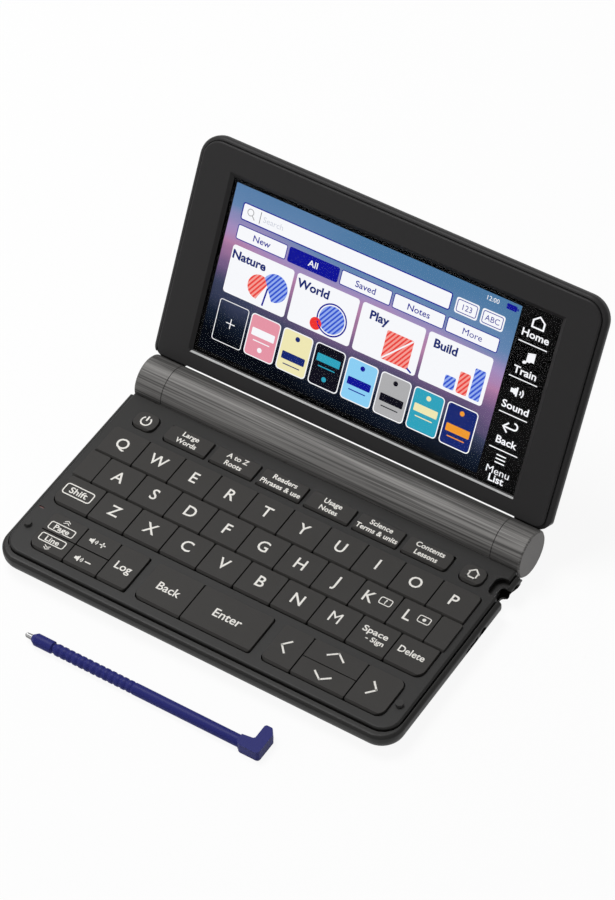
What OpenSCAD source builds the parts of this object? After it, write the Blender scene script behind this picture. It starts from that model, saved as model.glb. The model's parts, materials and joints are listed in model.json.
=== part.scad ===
// Pocket electronic dictionary, drawn open: a low base with a keyboard, a barrel across its back
// that holds two cells and the hinge, a lid with a touch display, and a stylus on the desk.
// X points right, Y to the back, Z up, in millimetres. The desk is z = 0. The origin is the middle
// of the outline on the desk.

/* [Overall] */
// Width of the lid, the widest piece
lid_w = 148; // [144:0.5:154]
// From the hinge axis to the far edge of the lid
lid_reach = 85.4; // [85:0.1:90]
// From the hinge axis to the front edge of the base
base_reach = 84; // [83:0.1:88]
// Angle of the lid above the desk as drawn, where 180 is closed
lid_tilt = 60.5; // [26:0.5:179]
// Height of the key tops above the desk
key_top = 9.5; // [9.3:0.05:10.2]

/* [Hinge barrel] */
// Outer diameter of the barrel
barrel_d = 16; // [15.9:0.05:16.6]
// Gap between the barrel and the desk
barrel_lift = 0.25; // [0.15:0.05:0.5]
// From the side of the lid in to the end of the barrel
barrel_step = 2; // [1.5:0.25:4]
// Share of the barrel beyond the battery opening that turns with the lid
knuckle_share = 0.5276; // [0.5:0.0001:0.56]
// Gap between the middle and an end of the barrel
seam = 0.2; // [0.15:0.05:0.4]
// Running gap between the base and the turning ends of the barrel
knuckle_gap = 0.35; // [0.3:0.05:0.6]
// Gap that shows between the lid and the middle of the barrel
lid_gap = 0.55; // [0.4:0.05:0.8]
// Radius of the steel hinge pins
pin_r = 2.5; // [2:0.1:3]
// Radial running gap round a hinge pin
pin_fit = 0.05; // [0.02:0.01:0.08]
// Wall between a hinge pin and the battery opening
pin_wall = 1.9; // [1.5:0.1:3]
// Wall over the outer end of a hinge pin
pin_cap = 2.3; // [1.5:0.1:4]

/* [Battery] */
// Diameter of a cell
cell_d = 14.5; // [13.5:0.1:14.6]
// Length of a cell with its nub
cell_l = 50.5; // [49:0.1:51]
// Radial gap between a cell and its tube
cell_fit = 0.1; // [0.05:0.01:0.15]
// Room for a contact at each end of the cells
contact_l = 1; // [0.6:0.1:1.5]
// Angle of the front edge of the cover opening, measured round the axis from the back
cover_front = -155; // [-160:1:-150]
// Angle of the back edge of the cover opening
cover_back = 25; // [10:1:30]
// Gap round the battery cover
cover_fit = 0.1; // [0.05:0.05:0.3]
// Ledge under each end of the battery cover
cover_ledge = 0.6; // [0.4:0.1:1]

/* [Base] */
// How far each side of the base lies inside the lid
base_inset = 0.65; // [0.3:0.05:1.2]
// Height of the feet below the base
foot_h = 0.6; // [0.5:0.05:0.8]
// Corner radius of the base seen from above
base_corner = 8; // [7:0.25:9]
// Radius of the lower edge
base_lower_r = 4.4; // [3.5:0.1:4.8]
// Radius of the upper edge
base_upper_r = 1.2; // [0.8:0.1:1.4]
// Thickness of the floor
floor_t = 1.3; // [1.1:0.05:1.5]
// Step from the keyboard plate down to the rim
rim_step = 1.1; // [0.8:0.05:1.3]
// Width of the rim at the sides
rim_w = 1.3; // [1:0.05:1.6]
// Width of the rim at the front
rim_front = 2.35; // [1.8:0.05:2.8]
// Depth of the seat of the plate below the rim
seat_drop = 0.95; // [0.7:0.05:1.1]
// Width of the seat of the plate
seat_w = 1.45; // [1.2:0.05:1.7]
// Thickness of the wall behind the cavity, at the barrel
rear_wall = 1.6; // [1.3:0.1:2]
// From the hinge axis to the back edge of the base's floor
base_rear = 6; // [5.5:0.1:6.5]

/* [Keyboard plate] */
// Dark groove between plate and rim
groove = 0.45; // [0.3:0.05:0.6]
// Rounding of the plate's upper edge
plate_round = 0.7; // [0.4:0.05:0.9]
// Thickness of the plate
plate_t = 1.2; // [1:0.05:1.4]
// Width of the skirt that stands on the seat
skirt_w = 1.5; // [1.2:0.1:1.8]
// Height of the keys above the plate
key_proud = 0.85; // [0.6:0.05:1]
// Gap between an opening and the cells of its keys
opening_fit = 0.1; // [0.05:0.05:0.2]
// Wall of a key tray
tray_wall = 1; // [0.8:0.1:1.2]
// Thickness of the lattice that holds the keys
web_t = 1; // [0.8:0.1:1.1]

/* [Keys] */
// Plate beside the letter keys
letters_side = 3.2; // [2.9:0.1:5]
// Plate in front of the front row
front_margin = 3.63; // [3.3:0.01:5]
// From the hinge axis to the back edge of the letter keys
letters_back = 22.9; // [22.7:0.05:23.2]
// Gap between two keys
key_gap = 0.4; // [0.3:0.05:0.6]
// Corner radius of a key
key_corner = 0.6; // [0.4:0.1:1]
// Corner radius of the letter block and of the outer keys
block_corner = 3; // [2:0.1:3.5]
// Depth of the slope along the front of a key, seen from above
slope_run = 0.7; // [0.4:0.05:1]
// Fall of that slope
slope_drop = 0.75; // [0.4:0.05:0.9]
// Small chamfer round the other edges of a key
key_chamfer = 0.2; // [0.1:0.05:0.35]
// Height of a key's cap
cap_h = 1.9; // [1.7:0.05:2]
// Travel of a key
travel = 0.7; // [0.5:0.05:0.8]
// Travel of the keys in the row behind the letters
mode_travel = 0.5; // [0.3:0.05:0.5]
// Width of a key's stem
stem_w = 4; // [3:0.1:4.5]
// Depth of a key's stem
stem_d = 2.2; // [1.8:0.1:2.4]
// Gap round a stem
stem_fit = 0.25; // [0.15:0.05:0.3]
// How far a stem's flange reaches past the hole
flange_lip = 0.5; // [0.3:0.05:0.6]
// Thickness of the flange
flange_t = 0.5; // [0.4:0.05:0.6]
// Gap between flange and lattice at rest
flange_gap = 0.15; // [0.1:0.05:0.2]
// Pitch of the mode keys, in letter key pitches
mode_u = 1.308; // [1.28:0.002:1.31]
// Plate between two mode keys
mode_gap = 1.5; // [1.4:0.1:2]
// Depth of the mode, power and home keys
mode_d = 7.1; // [6.8:0.1:7.2]
// Plate between mode keys and letter keys
mode_strip = 2.6; // [2.5:0.05:2.8]
// Width of the power and home keys, in letter key pitches
end_key_u = 0.614; // [0.58:0.002:0.62]
// From the middle to the power and home keys, in letter key pitches
end_u = 4.459; // [4.44:0.001:4.48]
// Corner radius of the power and home keys
end_key_r = 2.5; // [1:0.1:3]
// Plate between the letter keys and the front row
front_strip = 3.1; // [2.9:0.05:3.4]
// Depth of the front row
front_d = 15.3; // [14.8:0.05:15.6]
// From the middle to the left edge of the page key, in letter key pitches
left_u = 4.693; // [4.66:0.001:4.71]
// Width of the page key, in letter key pitches
page_u = 0.958; // [0.9:0.002:0.98]
// Width of the volume key, in letter key pitches
volume_u = 0.925; // [0.88:0.005:0.95]
// Width of the history key, in letter key pitches
history_u = 0.8; // [0.76:0.002:0.82]
// From the middle to the left edge of the back key, in letter key pitches
middle_u = 1.784; // [1.76:0.002:1.81]
// Width of the back key, in letter key pitches
back_u = 1.257; // [1.2:0.001:1.28]
// Width of the enter key, in letter key pitches
enter_u = 1.886; // [1.8:0.002:1.9]
// From the middle to the left edge of the left arrow key, in letter key pitches
right_u = 1.63; // [1.61:0.002:1.65]
// Width of the left arrow key, in letter key pitches
left_arrow_u = 0.79; // [0.76:0.002:0.8]
// Width of the up and down key, in letter key pitches
updown_u = 1.418; // [1.35:0.002:1.43]
// Width of the right arrow key, in letter key pitches
right_arrow_u = 0.987; // [0.9:0.001:0.99]
// Swing of the rocking keys to each side
rock = 2; // [1:0.25:2.25]

/* [Circuit board] */
// Gap between floor and board
board_lift = 0.4; // [0.3:0.05:0.5]
// Thickness of the board
board_t = 0.8; // [0.6:0.05:1]
// Gap between the board and the walls
board_fit = 0.6; // [0.4:0.1:1.5]
// Height of a snap dome
dome_h = 0.35; // [0.25:0.05:0.4]
// Gap between a pressed key and its dome
dome_gap = 0.1; // [0.05:0.05:0.15]
// Radius of the earphone socket
jack_r = 1.8; // [1.76:0.01:1.9]
// From the hinge axis to the earphone socket
jack_y = 31.2; // [31:0.1:31.8]
// Height of the sockets' centre lines
socket_z = 4.5; // [4.4:0.05:4.7]
// From the hinge axis to the data socket
port_y = 37.4; // [37.2:0.1:40]
// Width of the data socket
port_w = 6; // [5:0.1:6.6]
// Height of the data socket
port_h = 2; // [1.6:0.1:2.4]

/* [Lid] */
// Thickness of the lid
lid_t = 6.2; // [6:0.05:6.8]
// Gap between key tops and the closed lid
lid_clear = 0.35; // [0.3:0.05:0.6]
// Corner radius of the lid at its free end
lid_corner = 8; // [7:0.25:9]
// Radius of the lid's lower corners
lid_foot_corner = 3; // [1:0.25:4]
// Radius of the edge at the back of the lid
lid_back_r = 3.4; // [2.5:0.1:3.6]
// Radius of the edge beside the bezel
lid_front_r = 1.4; // [0.8:0.1:1.6]
// From the hinge axis to the lower edge of the lid's shell
lid_foot = 7.1; // [7:0.1:7.6]
// Thickness of the shell's back
lid_wall = 1.2; // [1:0.05:1.3]
// Rim of the shell at the sides
lid_rim = 1.5; // [1.2:0.05:1.8]
// Rim of the shell at the free end
lid_rim_top = 1.1; // [1:0.05:1.4]
// Height of the bezel above the rim
bezel_proud = 0.8; // [0.5:0.05:0.9]
// Depth of the groove round the bezel
bezel_sink = 0.6; // [0.4:0.05:0.8]
// Groove round the bezel
bezel_groove = 0.3; // [0.2:0.05:0.4]
// Rounding of the bezel's edge
bezel_round = 0.6; // [0.3:0.05:0.8]
// Thickness of the bezel over the display
bezel_t = 0.9; // [0.8:0.05:1]
// From the hinge axis to the lower edge of the bezel
bezel_foot = 8.6; // [8.5:0.05:9]
// From the side of the lid in to the display opening
view_side = 14.2; // [13.6:0.1:18]
// From the free end of the lid to the display opening
view_top = 10.7; // [10.2:0.1:14]
// From the hinge axis to the lower edge of the display opening
view_foot = 14.5; // [14.2:0.1:15]
// Bevel of the display opening
view_bevel = 0.5; // [0.3:0.05:0.7]
// Bevel along the lower edge of the display opening
view_bevel_foot = 0.9; // [0.5:0.05:1]
// How far the glass reaches under the bezel
glass_lap = 1.2; // [0.8:0.1:1.4]
// Thickness of the glass
glass_t = 0.7; // [0.5:0.05:0.8]

/* [Stylus] */
// Length of the stylus
stylus_l = 87.3; // [84:0.1:90]
// Radius of the shaft
stylus_r = 1.95; // [1.8:0.01:2]
// Radius of the collar and half thickness of the head
collar_r = 2.05; // [2.01:0.01:2.1]
// Metal point that shows
tip_l = 2.8; // [2:0.1:3.5]
// Length of the collar behind the point
collar_l = 7.8; // [6:0.1:9]
// Length of the ribbed grip
grip_l = 29; // [24:0.5:34]
// Number of grooves in the grip
grip_n = 13; // [8:1:16]
// Reach of the hook beyond the axis
hook_l = 8; // [7:0.1:8.2]
// Thickness of the hook
hook_w = 4; // [3.6:0.1:4.2]
// Bulge of the head on the side away from the hook
bulge = 0.4; // [0.2:0.05:0.4]
// From the hinge axis to the stylus on the desk
stylus_y = 102.4; // [95:0.5:120]
// Left end of the stylus on the desk
stylus_x = -47.7; // [-50:0.1:-40]
// Radial gap round the stylus in its silo
silo_fit = 0.15; // [0.1:0.01:0.2]
// Wall of the silo
silo_wall = 0.7; // [0.6:0.05:0.8]
// From the hinge axis to the silo
silo_y = 12.1; // [12:0.05:12.3]
// Height of the silo above the desk
silo_z = 3.9; // [3.8:0.05:4]
// Width of the gap that lets a fingernail reach the hook
nail_w = 4.8; // [4.4:0.1:5]

/* [Hidden] */
$fn = 32;
eps = 0.01;

// Heights above the desk
barrel_r = barrel_d / 2;
hinge_z = barrel_r + barrel_lift;
plate_z = key_top - key_proud;
rim_z = plate_z - rim_step;
seat_z = rim_z - seat_drop;
floor_z = foot_h + floor_t;
board_z = floor_z + board_lift;
board_top = board_z + board_t;
dome_top = board_top + dome_h;
cap_z = key_top - cap_h;
web_z = cap_z - travel - 0.4 - web_t;
flange_z = web_z - flange_gap - flange_t;
rock_z = web_z + web_t / 2;

// Battery tube and the barrel round it
bore_r = cell_d / 2 + cell_fit;
bore_half = cell_l + contact_l;
cover_half = bore_half + cover_ledge;
cover_pull = (cover_front + cover_back) / 2;
barrel_end = lid_w / 2 - barrel_step;
barrel_half = barrel_end - knuckle_share * (barrel_end - cover_half);
pin_in = barrel_half - cover_half - pin_wall;
pin_out = barrel_end - barrel_half - seam - pin_cap;

// Plan of the base, y measured from the hinge axis, forward is negative
base_hw = lid_w / 2 - base_inset;
seat_hw = base_hw - rim_w;
seat_front = -(base_reach - rim_front);
plate_hw = seat_hw - groove;
plate_front = seat_front + groove;
cavity_hw = seat_hw - seat_w;
cavity_front = seat_front + seat_w;
cavity_back = -(barrel_r + rear_wall);
cavity_corner = base_corner - rim_w - seat_w;

// Lid, in its own frame: y along the lid from the hinge axis, z out of its face
lid_hw = lid_w / 2;
face_z = -(key_top + lid_clear - hinge_z);
back_z = face_z - lid_t;
lid_rim_z = face_z - bezel_proud;
lid_seat_z = lid_rim_z - bezel_sink;
lid_seat_hw = lid_hw - lid_rim;
lid_seat_top = lid_reach - lid_rim_top;
bezel_hw = lid_seat_hw - bezel_groove;
bezel_top = lid_seat_top - bezel_groove;
bezel_under = face_z - bezel_t;
lid_ledge = 1.4;
view_w = lid_w - 2 * view_side;
view_h = lid_reach - view_foot - view_top;
glass_z = bezel_under - glass_t;
lcd_foam = 0.2;
lcd_lap = glass_lap - 0.6;
lcd_hw = view_w / 2 + lcd_lap;

// Silo and the notch for the stylus head
silo_r = collar_r + silo_fit;
silo_out = silo_r + silo_wall;
head_r = stylus_r + bulge + silo_fit;
head_l = hook_w + 4.6;
head_x = base_hw - 0.15;
silo_mouth = head_x - head_l;
silo_end = head_x - stylus_l - 0.5;
hook_x = head_x - hook_w - 0.3;
hook_h = collar_r + 0.1;
notch_x = hook_x - 1.3;
notch_front = -(silo_y + hook_l + 0.3);
notch_back = -(silo_y + 0.4);
nail_x = hook_x + 0.9;
nail_back = notch_front + nail_w;

// The drawing's origin is the middle of the outline, so the hinge axis lies behind it
front_y = -(stylus_y + stylus_r + bulge);
rear_y = (lid_reach - lid_back_r) * cos(lid_tilt) + (-back_z - lid_back_r) * sin(lid_tilt)
    + lid_back_r;
hinge_y = -(front_y + rear_y) / 2;

plastic = [0.165, 0.16, 0.155];
key_grey = [0.25, 0.243, 0.235];
lid_grey = [0.2, 0.196, 0.2];
barrel_grey = [0.4, 0.39, 0.385];
blue = [0.23, 0.235, 0.5];
steel = [0.7, 0.7, 0.7];
rubber = [0.1, 0.1, 0.1];

// ---- Outlines and sweeps ----

function arc(c, r, a0, a1, n) =
    [for (i = [0:n]) let (a = a0 + (a1 - a0) * i / n) c + r * [cos(a), sin(a)]];
// Grow a rectangle [x0, y0, x1, y1] by d on every side
function grow(b, d) = [b[0] - d, b[1] - d, b[2] + d, b[3] + d];
// Rounded rectangle with a radius for each corner: front left, front right, back right, back left
function rounded(b, r, n) = concat(
    arc([b[0] + r[0], b[1] + r[0]], r[0], 180, 270, n),
    arc([b[2] - r[1], b[1] + r[1]], r[1], 270, 360, n),
    arc([b[2] - r[2], b[3] - r[2]], r[2], 0, 90, n),
    arc([b[0] + r[3], b[3] - r[3]], r[3], 90, 180, n));
// Section of an edge: lower radius rl, upper radius ru, from z0 to z1, rc deep
function edge(rc, z0, z1, rl, ru, n) = concat([[0, z0]],
    arc([rc - rl, z0 + rl], rl, -90, 0, n),
    arc([rc - ru, z1 - ru], ru, 0, 90, n), [[0, z1]]);

// Draw children in the device, with y measured from the hinge axis
module placed() translate([0, hinge_y, 0]) children();
// Draw children in the lid's own frame
module in_lid() translate([0, hinge_y, hinge_z]) rotate([lid_tilt, 0, 0]) children();
// Sweep a section drawn in (y, z) along x
module along_x(x0, x1) translate([x0, 0, 0]) rotate([90, 0, 90]) linear_extrude(x1 - x0) children();
// Sweep a section drawn in (x, z) along y
module along_y(y0, y1) translate([0, y1, 0]) rotate([90, 0, 0]) linear_extrude(y1 - y0) children();
module prism(b, r, z0, z1, n = 5)
    translate([0, 0, z0]) linear_extrude(z1 - z0) polygon(rounded(b, r, n));
module both_sides() { children(); mirror([1, 0, 0]) children(); }

// Slab that runs from y1 forward to y0, with its front corners and three edges swept round
module slab(hw, y0, y1, rc, z0, z1, rl, ru, n = 6) {
    section = edge(rc, z0, z1, rl, ru, n);
    both_sides() {
        translate([hw - rc, 0, 0]) along_y(y0 + rc, y1) polygon(section);
        translate([hw - rc, y0 + rc, 0]) rotate([0, 0, -90])
            rotate_extrude(angle = 90) polygon(section);
    }
    translate([hw - rc, y0 + rc, 0]) rotate([0, 0, -90]) rotate([90, 0, 0])
        linear_extrude(2 * (hw - rc)) polygon(section);
    translate([-(hw - rc), y0 + rc, z0]) cube([2 * (hw - rc), y1 - y0 - rc, z1 - z0]);
}

// Room for the barrel in a piece of the base: close in the middle, free at the turning ends
module barrel_room() translate([0, 0, hinge_z]) {
    along_x(-barrel_half - seam, barrel_half + seam) circle(barrel_r + 0.02);
    both_sides() along_x(barrel_half + seam - eps, lid_hw) circle(barrel_r + knuckle_gap);
}

// ---- Key layout ----
// Each key: name, cell [x0, y0, x1, y1], corner radii, kind (0 press, 1 rock), travel

pitch_x = (plate_hw - letters_side) / 5;
pitch_y = (-plate_front - front_margin - front_d - front_strip - letters_back) / 3;
mode_w = mode_u * pitch_x - mode_gap;
end_key_w = end_key_u * pitch_x;
end_key_x = end_u * pitch_x;
left_x = -left_u * pitch_x;
page_w = page_u * pitch_x;
volume_w = volume_u * pitch_x;
history_w = history_u * pitch_x;
middle_x = -middle_u * pitch_x;
back_w = back_u * pitch_x;
enter_w = enter_u * pitch_x;
right_x = right_u * pitch_x;
left_arrow_w = left_arrow_u * pitch_x;
updown_w = updown_u * pitch_x;
right_arrow_w = right_arrow_u * pitch_x;
function cell(c, r) = [(c - 5) * pitch_x, -(letters_back + (r + 1) * pitch_y),
    (c - 4) * pitch_x, -(letters_back + r * pitch_y)];
kc = key_corner;
bc = block_corner;
row_1 = ["q", "w", "e", "r", "t", "y", "u", "i", "o", "p"];
row_2 = ["a", "s", "d", "f", "g", "h", "j", "k", "l"];
row_3 = ["shift", "z", "x", "c", "v", "b", "n", "m", "space", "delete"];
mode_y0 = -(letters_back - mode_strip);
mode_y1 = mode_y0 + mode_d;
front_y1 = -(letters_back + 3 * pitch_y + front_strip);
front_y0 = front_y1 - front_d;
function mode_cell(i) = let (x = (i - 2.5) * (mode_w + mode_gap))
    [x - mode_w / 2, mode_y0, x + mode_w / 2, mode_y1];
function end_cell(s) = [s * end_key_x - end_key_w / 2, mode_y0, s * end_key_x + end_key_w / 2,
    mode_y1];
function front_cell(x, w) = [x, front_y0, x + w, front_y1];

letter_block = [-5 * pitch_x, -(letters_back + 3 * pitch_y), 5 * pitch_x, -letters_back];
left_block = front_cell(left_x, page_w + volume_w + history_w);
middle_block = front_cell(middle_x, back_w + enter_w);
right_block = front_cell(right_x, left_arrow_w + updown_w + right_arrow_w);

mode_r = [1.5, 1.5, kc, kc];
end_r = [end_key_r, end_key_r, end_key_r, end_key_r];
plain_r = [kc, kc, kc, kc];
keys = concat(
    [["key_power", end_cell(-1), end_r, 0, mode_travel]],
    [for (i = [0:5]) [str("key_mode_", i + 1), mode_cell(i), mode_r, 0, mode_travel]],
    [["key_home", end_cell(1), end_r, 0, mode_travel]],
    [for (i = [0:9]) [str("key_", row_1[i]), cell(i, 0),
        i == 0 ? [kc, kc, kc, bc] : i == 9 ? [kc, kc, bc, kc] : plain_r, 0, travel]],
    [for (i = [0:8]) [str("key_", row_2[i]), cell(i + 0.5, 1), plain_r, 0, travel]],
    [for (i = [0:9]) [str("key_", row_3[i]), cell(i, 2),
        i == 0 ? [bc, kc, kc, kc] : i == 9 ? [kc, bc, kc, kc] : plain_r, 0, travel]],
    [["key_page", front_cell(left_x, page_w), [bc, kc, kc, bc], 1, travel],
     ["key_volume", front_cell(left_x + page_w, volume_w), plain_r, 1, travel],
     ["key_history", front_cell(left_x + page_w + volume_w, history_w), plain_r, 0, travel],
     ["key_back", front_cell(middle_x, back_w), [bc, kc, kc, bc], 0, travel],
     ["key_enter", front_cell(middle_x + back_w, enter_w), [kc, bc, bc, kc], 0, travel],
     ["key_left", front_cell(right_x, left_arrow_w), [bc, kc, kc, bc], 0, travel],
     ["key_up_down", front_cell(right_x + left_arrow_w, updown_w), plain_r, 1, travel],
     ["key_right", front_cell(right_x + left_arrow_w + updown_w, right_arrow_w),
        [kc, bc, bc, kc], 0, travel]]);

// Openings of the plate: cell and corner radii
mode_openings = [for (k = keys) if (k[4] == mode_travel && k[1][3] > -letters_back) [k[1], k[2]]];
block_openings = [[letter_block, [bc, bc, bc, bc]], [left_block, [bc, kc, kc, bc]],
    [middle_block, [bc, bc, bc, bc]], [right_block, [bc, bc, bc, bc]]];

function mid_x(k) = (k[1][0] + k[1][2]) / 2;
// The stems of the back row stand forward of the silo
function stem_y(k) = k[1][3] > -letters_back
    ? k[1][1] + key_gap / 2 + stem_d / 2 + stem_fit + flange_lip + 0.4
    : (k[1][1] + k[1][3]) / 2;
// A rocking key turns on two pivots that snap into the lattice, and has a post under each end
pivot_r = 0.5;
pivot_fit = 0.05;
pivot_l = 1.1;
pivot_boss = 1.1;
rock_stem_d = 1.6;
post_w = 2;
function post_off(k) = (k[1][3] - k[1][1]) / 2 - 3;

// ---- Keys ----

module key_cap(b, r, z0, z1) {
    intersection() {
        prism(b, r, z0, z1, max(r) > 1 ? 3 : 2);
        along_x(b[0] - 1, b[2] + 1) polygon([[b[1], z0], [b[3], z0], [b[3], z1 - key_chamfer],
            [b[3] - key_chamfer, z1], [b[1] + slope_run, z1], [b[1], z1 - slope_drop]]);
        along_y(b[1] - 1, b[3] + 1) polygon([[b[0], z0], [b[2], z0], [b[2], z1 - key_chamfer],
            [b[2] - key_chamfer, z1], [b[0] + key_chamfer, z1], [b[0], z1 - key_chamfer]]);
    }
}

module box_on(x, y, w, d, z0, z1) translate([x - w / 2, y - d / 2, z0]) cube([w, d, z1 - z0]);

module key(k) {
    x = mid_x(k);
    y = stem_y(k);
    flange_w = stem_w + 2 * (stem_fit + flange_lip);
    flange_d = stem_d + 2 * (stem_fit + flange_lip);
    color(key_grey) placed() {
        if (k[3] == 0) {
            key_cap(grow(k[1], -key_gap / 2), k[2], cap_z, key_top);
            box_on(x, y, stem_w, stem_d, flange_z, cap_z + 0.2);
            box_on(x, y, flange_w, flange_d, flange_z, flange_z + flange_t);
            box_on(x, y, 1.6, 1.6, dome_top + dome_gap + k[4], flange_z + eps);
        } else {
            difference() {
                key_cap(grow(k[1], -key_gap / 2), k[2], cap_z, key_top);
                // shallow line across the middle of a rocking key
                box_on(x, y, k[1][2] - k[1][0], 0.4, key_top - 0.35, key_top + 1);
            }
            box_on(x, y, stem_w, rock_stem_d, rock_z - pivot_r - 0.2, cap_z + 0.2);
            translate([0, y, rock_z]) along_x(x - stem_w / 2 - pivot_l, x + stem_w / 2 + pivot_l)
                circle(pivot_r, $fn = 16);
            for (s = [-1, 1]) box_on(x, y + s * post_off(k), post_w, post_w,
                dome_top + dome_gap + (post_off(k) + 1) * sin(rock), cap_z + 0.2);
        }
    }
}

// ---- Base ----

module silo_block() {
    // tube along the back of the case
    translate([0, -silo_y, silo_z]) along_x(silo_end - silo_wall, silo_mouth + 1) circle(silo_out);
    translate([silo_end - silo_wall, -silo_y - 1, foot_h + 0.3])
        cube([silo_mouth - silo_end, 2, silo_z - foot_h - 0.3]);
    // housing of the head
    translate([notch_x - 1.2, notch_front - 1.2, foot_h + 0.3])
        cube([cavity_hw + 0.2 - notch_x + 1.2, cavity_back + 0.2 - notch_front + 1.2,
            seat_z - foot_h - 0.3]);
}

// Everything that the stylus and its head need free
module silo_room() {
    translate([0, -silo_y, silo_z]) {
        along_x(silo_end, silo_mouth + eps) circle(silo_r);
        along_x(silo_mouth, lid_hw) circle(head_r);
    }
    translate([hook_x, notch_front, silo_z - hook_h])
        cube([lid_hw - hook_x, -silo_y - notch_front, 2 * hook_h]);
    nail_room();
}

// Gap through the whole base, open to the side
module nail_room()
    prism([nail_x, notch_front, lid_hw + 2, nail_back], [1, 0.3, 0.3, 1], -1, key_top + 1, 4);

screw_posts = [for (s = [-1, 1]) for (y = [-(letters_back + pitch_y),
    -(letters_back + 3 * pitch_y + front_strip / 2)]) [s * 3 * pitch_x, y]];
post_r = 1.9;

foot_l = 12;
foot_w = 4.5;
foot_sink = 0.4;
foot_side = 13;
foot_front = 9;
foot_spots = [for (s = [-1, 1]) [s * (base_hw - foot_side), -(base_reach - foot_front)]];
rear_foot_l = 6;
rear_foot_w = 4.2;
// Bosses that carry the board, spread over the floor
boss_r = 1.5;
boss_x = cavity_hw - 9;
board_back = -(silo_y + silo_out + 0.4);
boss_back = board_back - 5;
boss_front = cavity_front + 8;
boss_spots = [for (x = [-1, -1 / 3, 1 / 3, 1]) for (t = [0, 0.5, 1])
    [x * boss_x, boss_front + t * (boss_back - boss_front)]];

module foot_outline(w, l) polygon(rounded([-l / 2, -w / 2, l / 2, w / 2],
    [w / 2 - eps, w / 2 - eps, w / 2 - eps, w / 2 - eps], 4));

module lower_case() {
    color(plastic) placed() difference() {
        union() {
            difference() {
                slab(base_hw, -base_reach, -base_rear, base_corner, foot_h, rim_z, base_lower_r,
                    base_upper_r);
                // seat of the keyboard plate
                prism([-seat_hw, seat_front, seat_hw, 5], [base_corner - rim_w,
                    base_corner - rim_w, 1, 1], seat_z, key_top);
                // cavity
                prism([-cavity_hw, cavity_front, cavity_hw, cavity_back],
                    [cavity_corner, cavity_corner, 1, 1], floor_z, key_top, 6);
            }
            silo_block();
            for (p = screw_posts) translate([p[0], p[1], foot_h + 0.3])
                cylinder(r = post_r, h = web_z - foot_h - 0.3, $fn = 16);
            // bosses under the board
            for (p = boss_spots) translate([p[0], p[1], foot_h + 0.3])
                cylinder(r = boss_r, h = board_z - foot_h - 0.3, $fn = 14);
        }
        barrel_room();
        // the battery cover needs the edge of the floor out of its way
        translate([-cover_half - 0.3, barrel_r * cos(cover_front) - 0.25, foot_h - 1])
            cube([2 * cover_half + 0.6, barrel_r, hinge_z - foot_h]);
        silo_room();
        // data socket and earphone socket
        translate([cavity_hw - 1, -port_y, socket_z]) rotate([90, 0, 90]) linear_extrude(5)
            polygon(rounded([-port_w / 2 - 0.4, -port_h / 2 - 0.3, port_w / 2 + 0.4,
                port_h / 2 + 0.3], [0.2, 0.2, 0.2, 0.2], 2));
        translate([cavity_hw - 1, -jack_y, socket_z]) rotate([0, 90, 0])
            cylinder(r = jack_r, h = 6);
        for (p = screw_posts) translate([p[0], p[1], foot_h - 1]) {
            cylinder(r = 1.9, h = 1.9, $fn = 16);
            cylinder(r = 0.8, h = web_z - foot_h, $fn = 16);
        }
        for (p = foot_spots) translate([p[0], p[1], foot_h - 1])
            linear_extrude(1 + foot_sink) foot_outline(foot_w + 0.1, foot_l + 0.1);
    }
}

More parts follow.
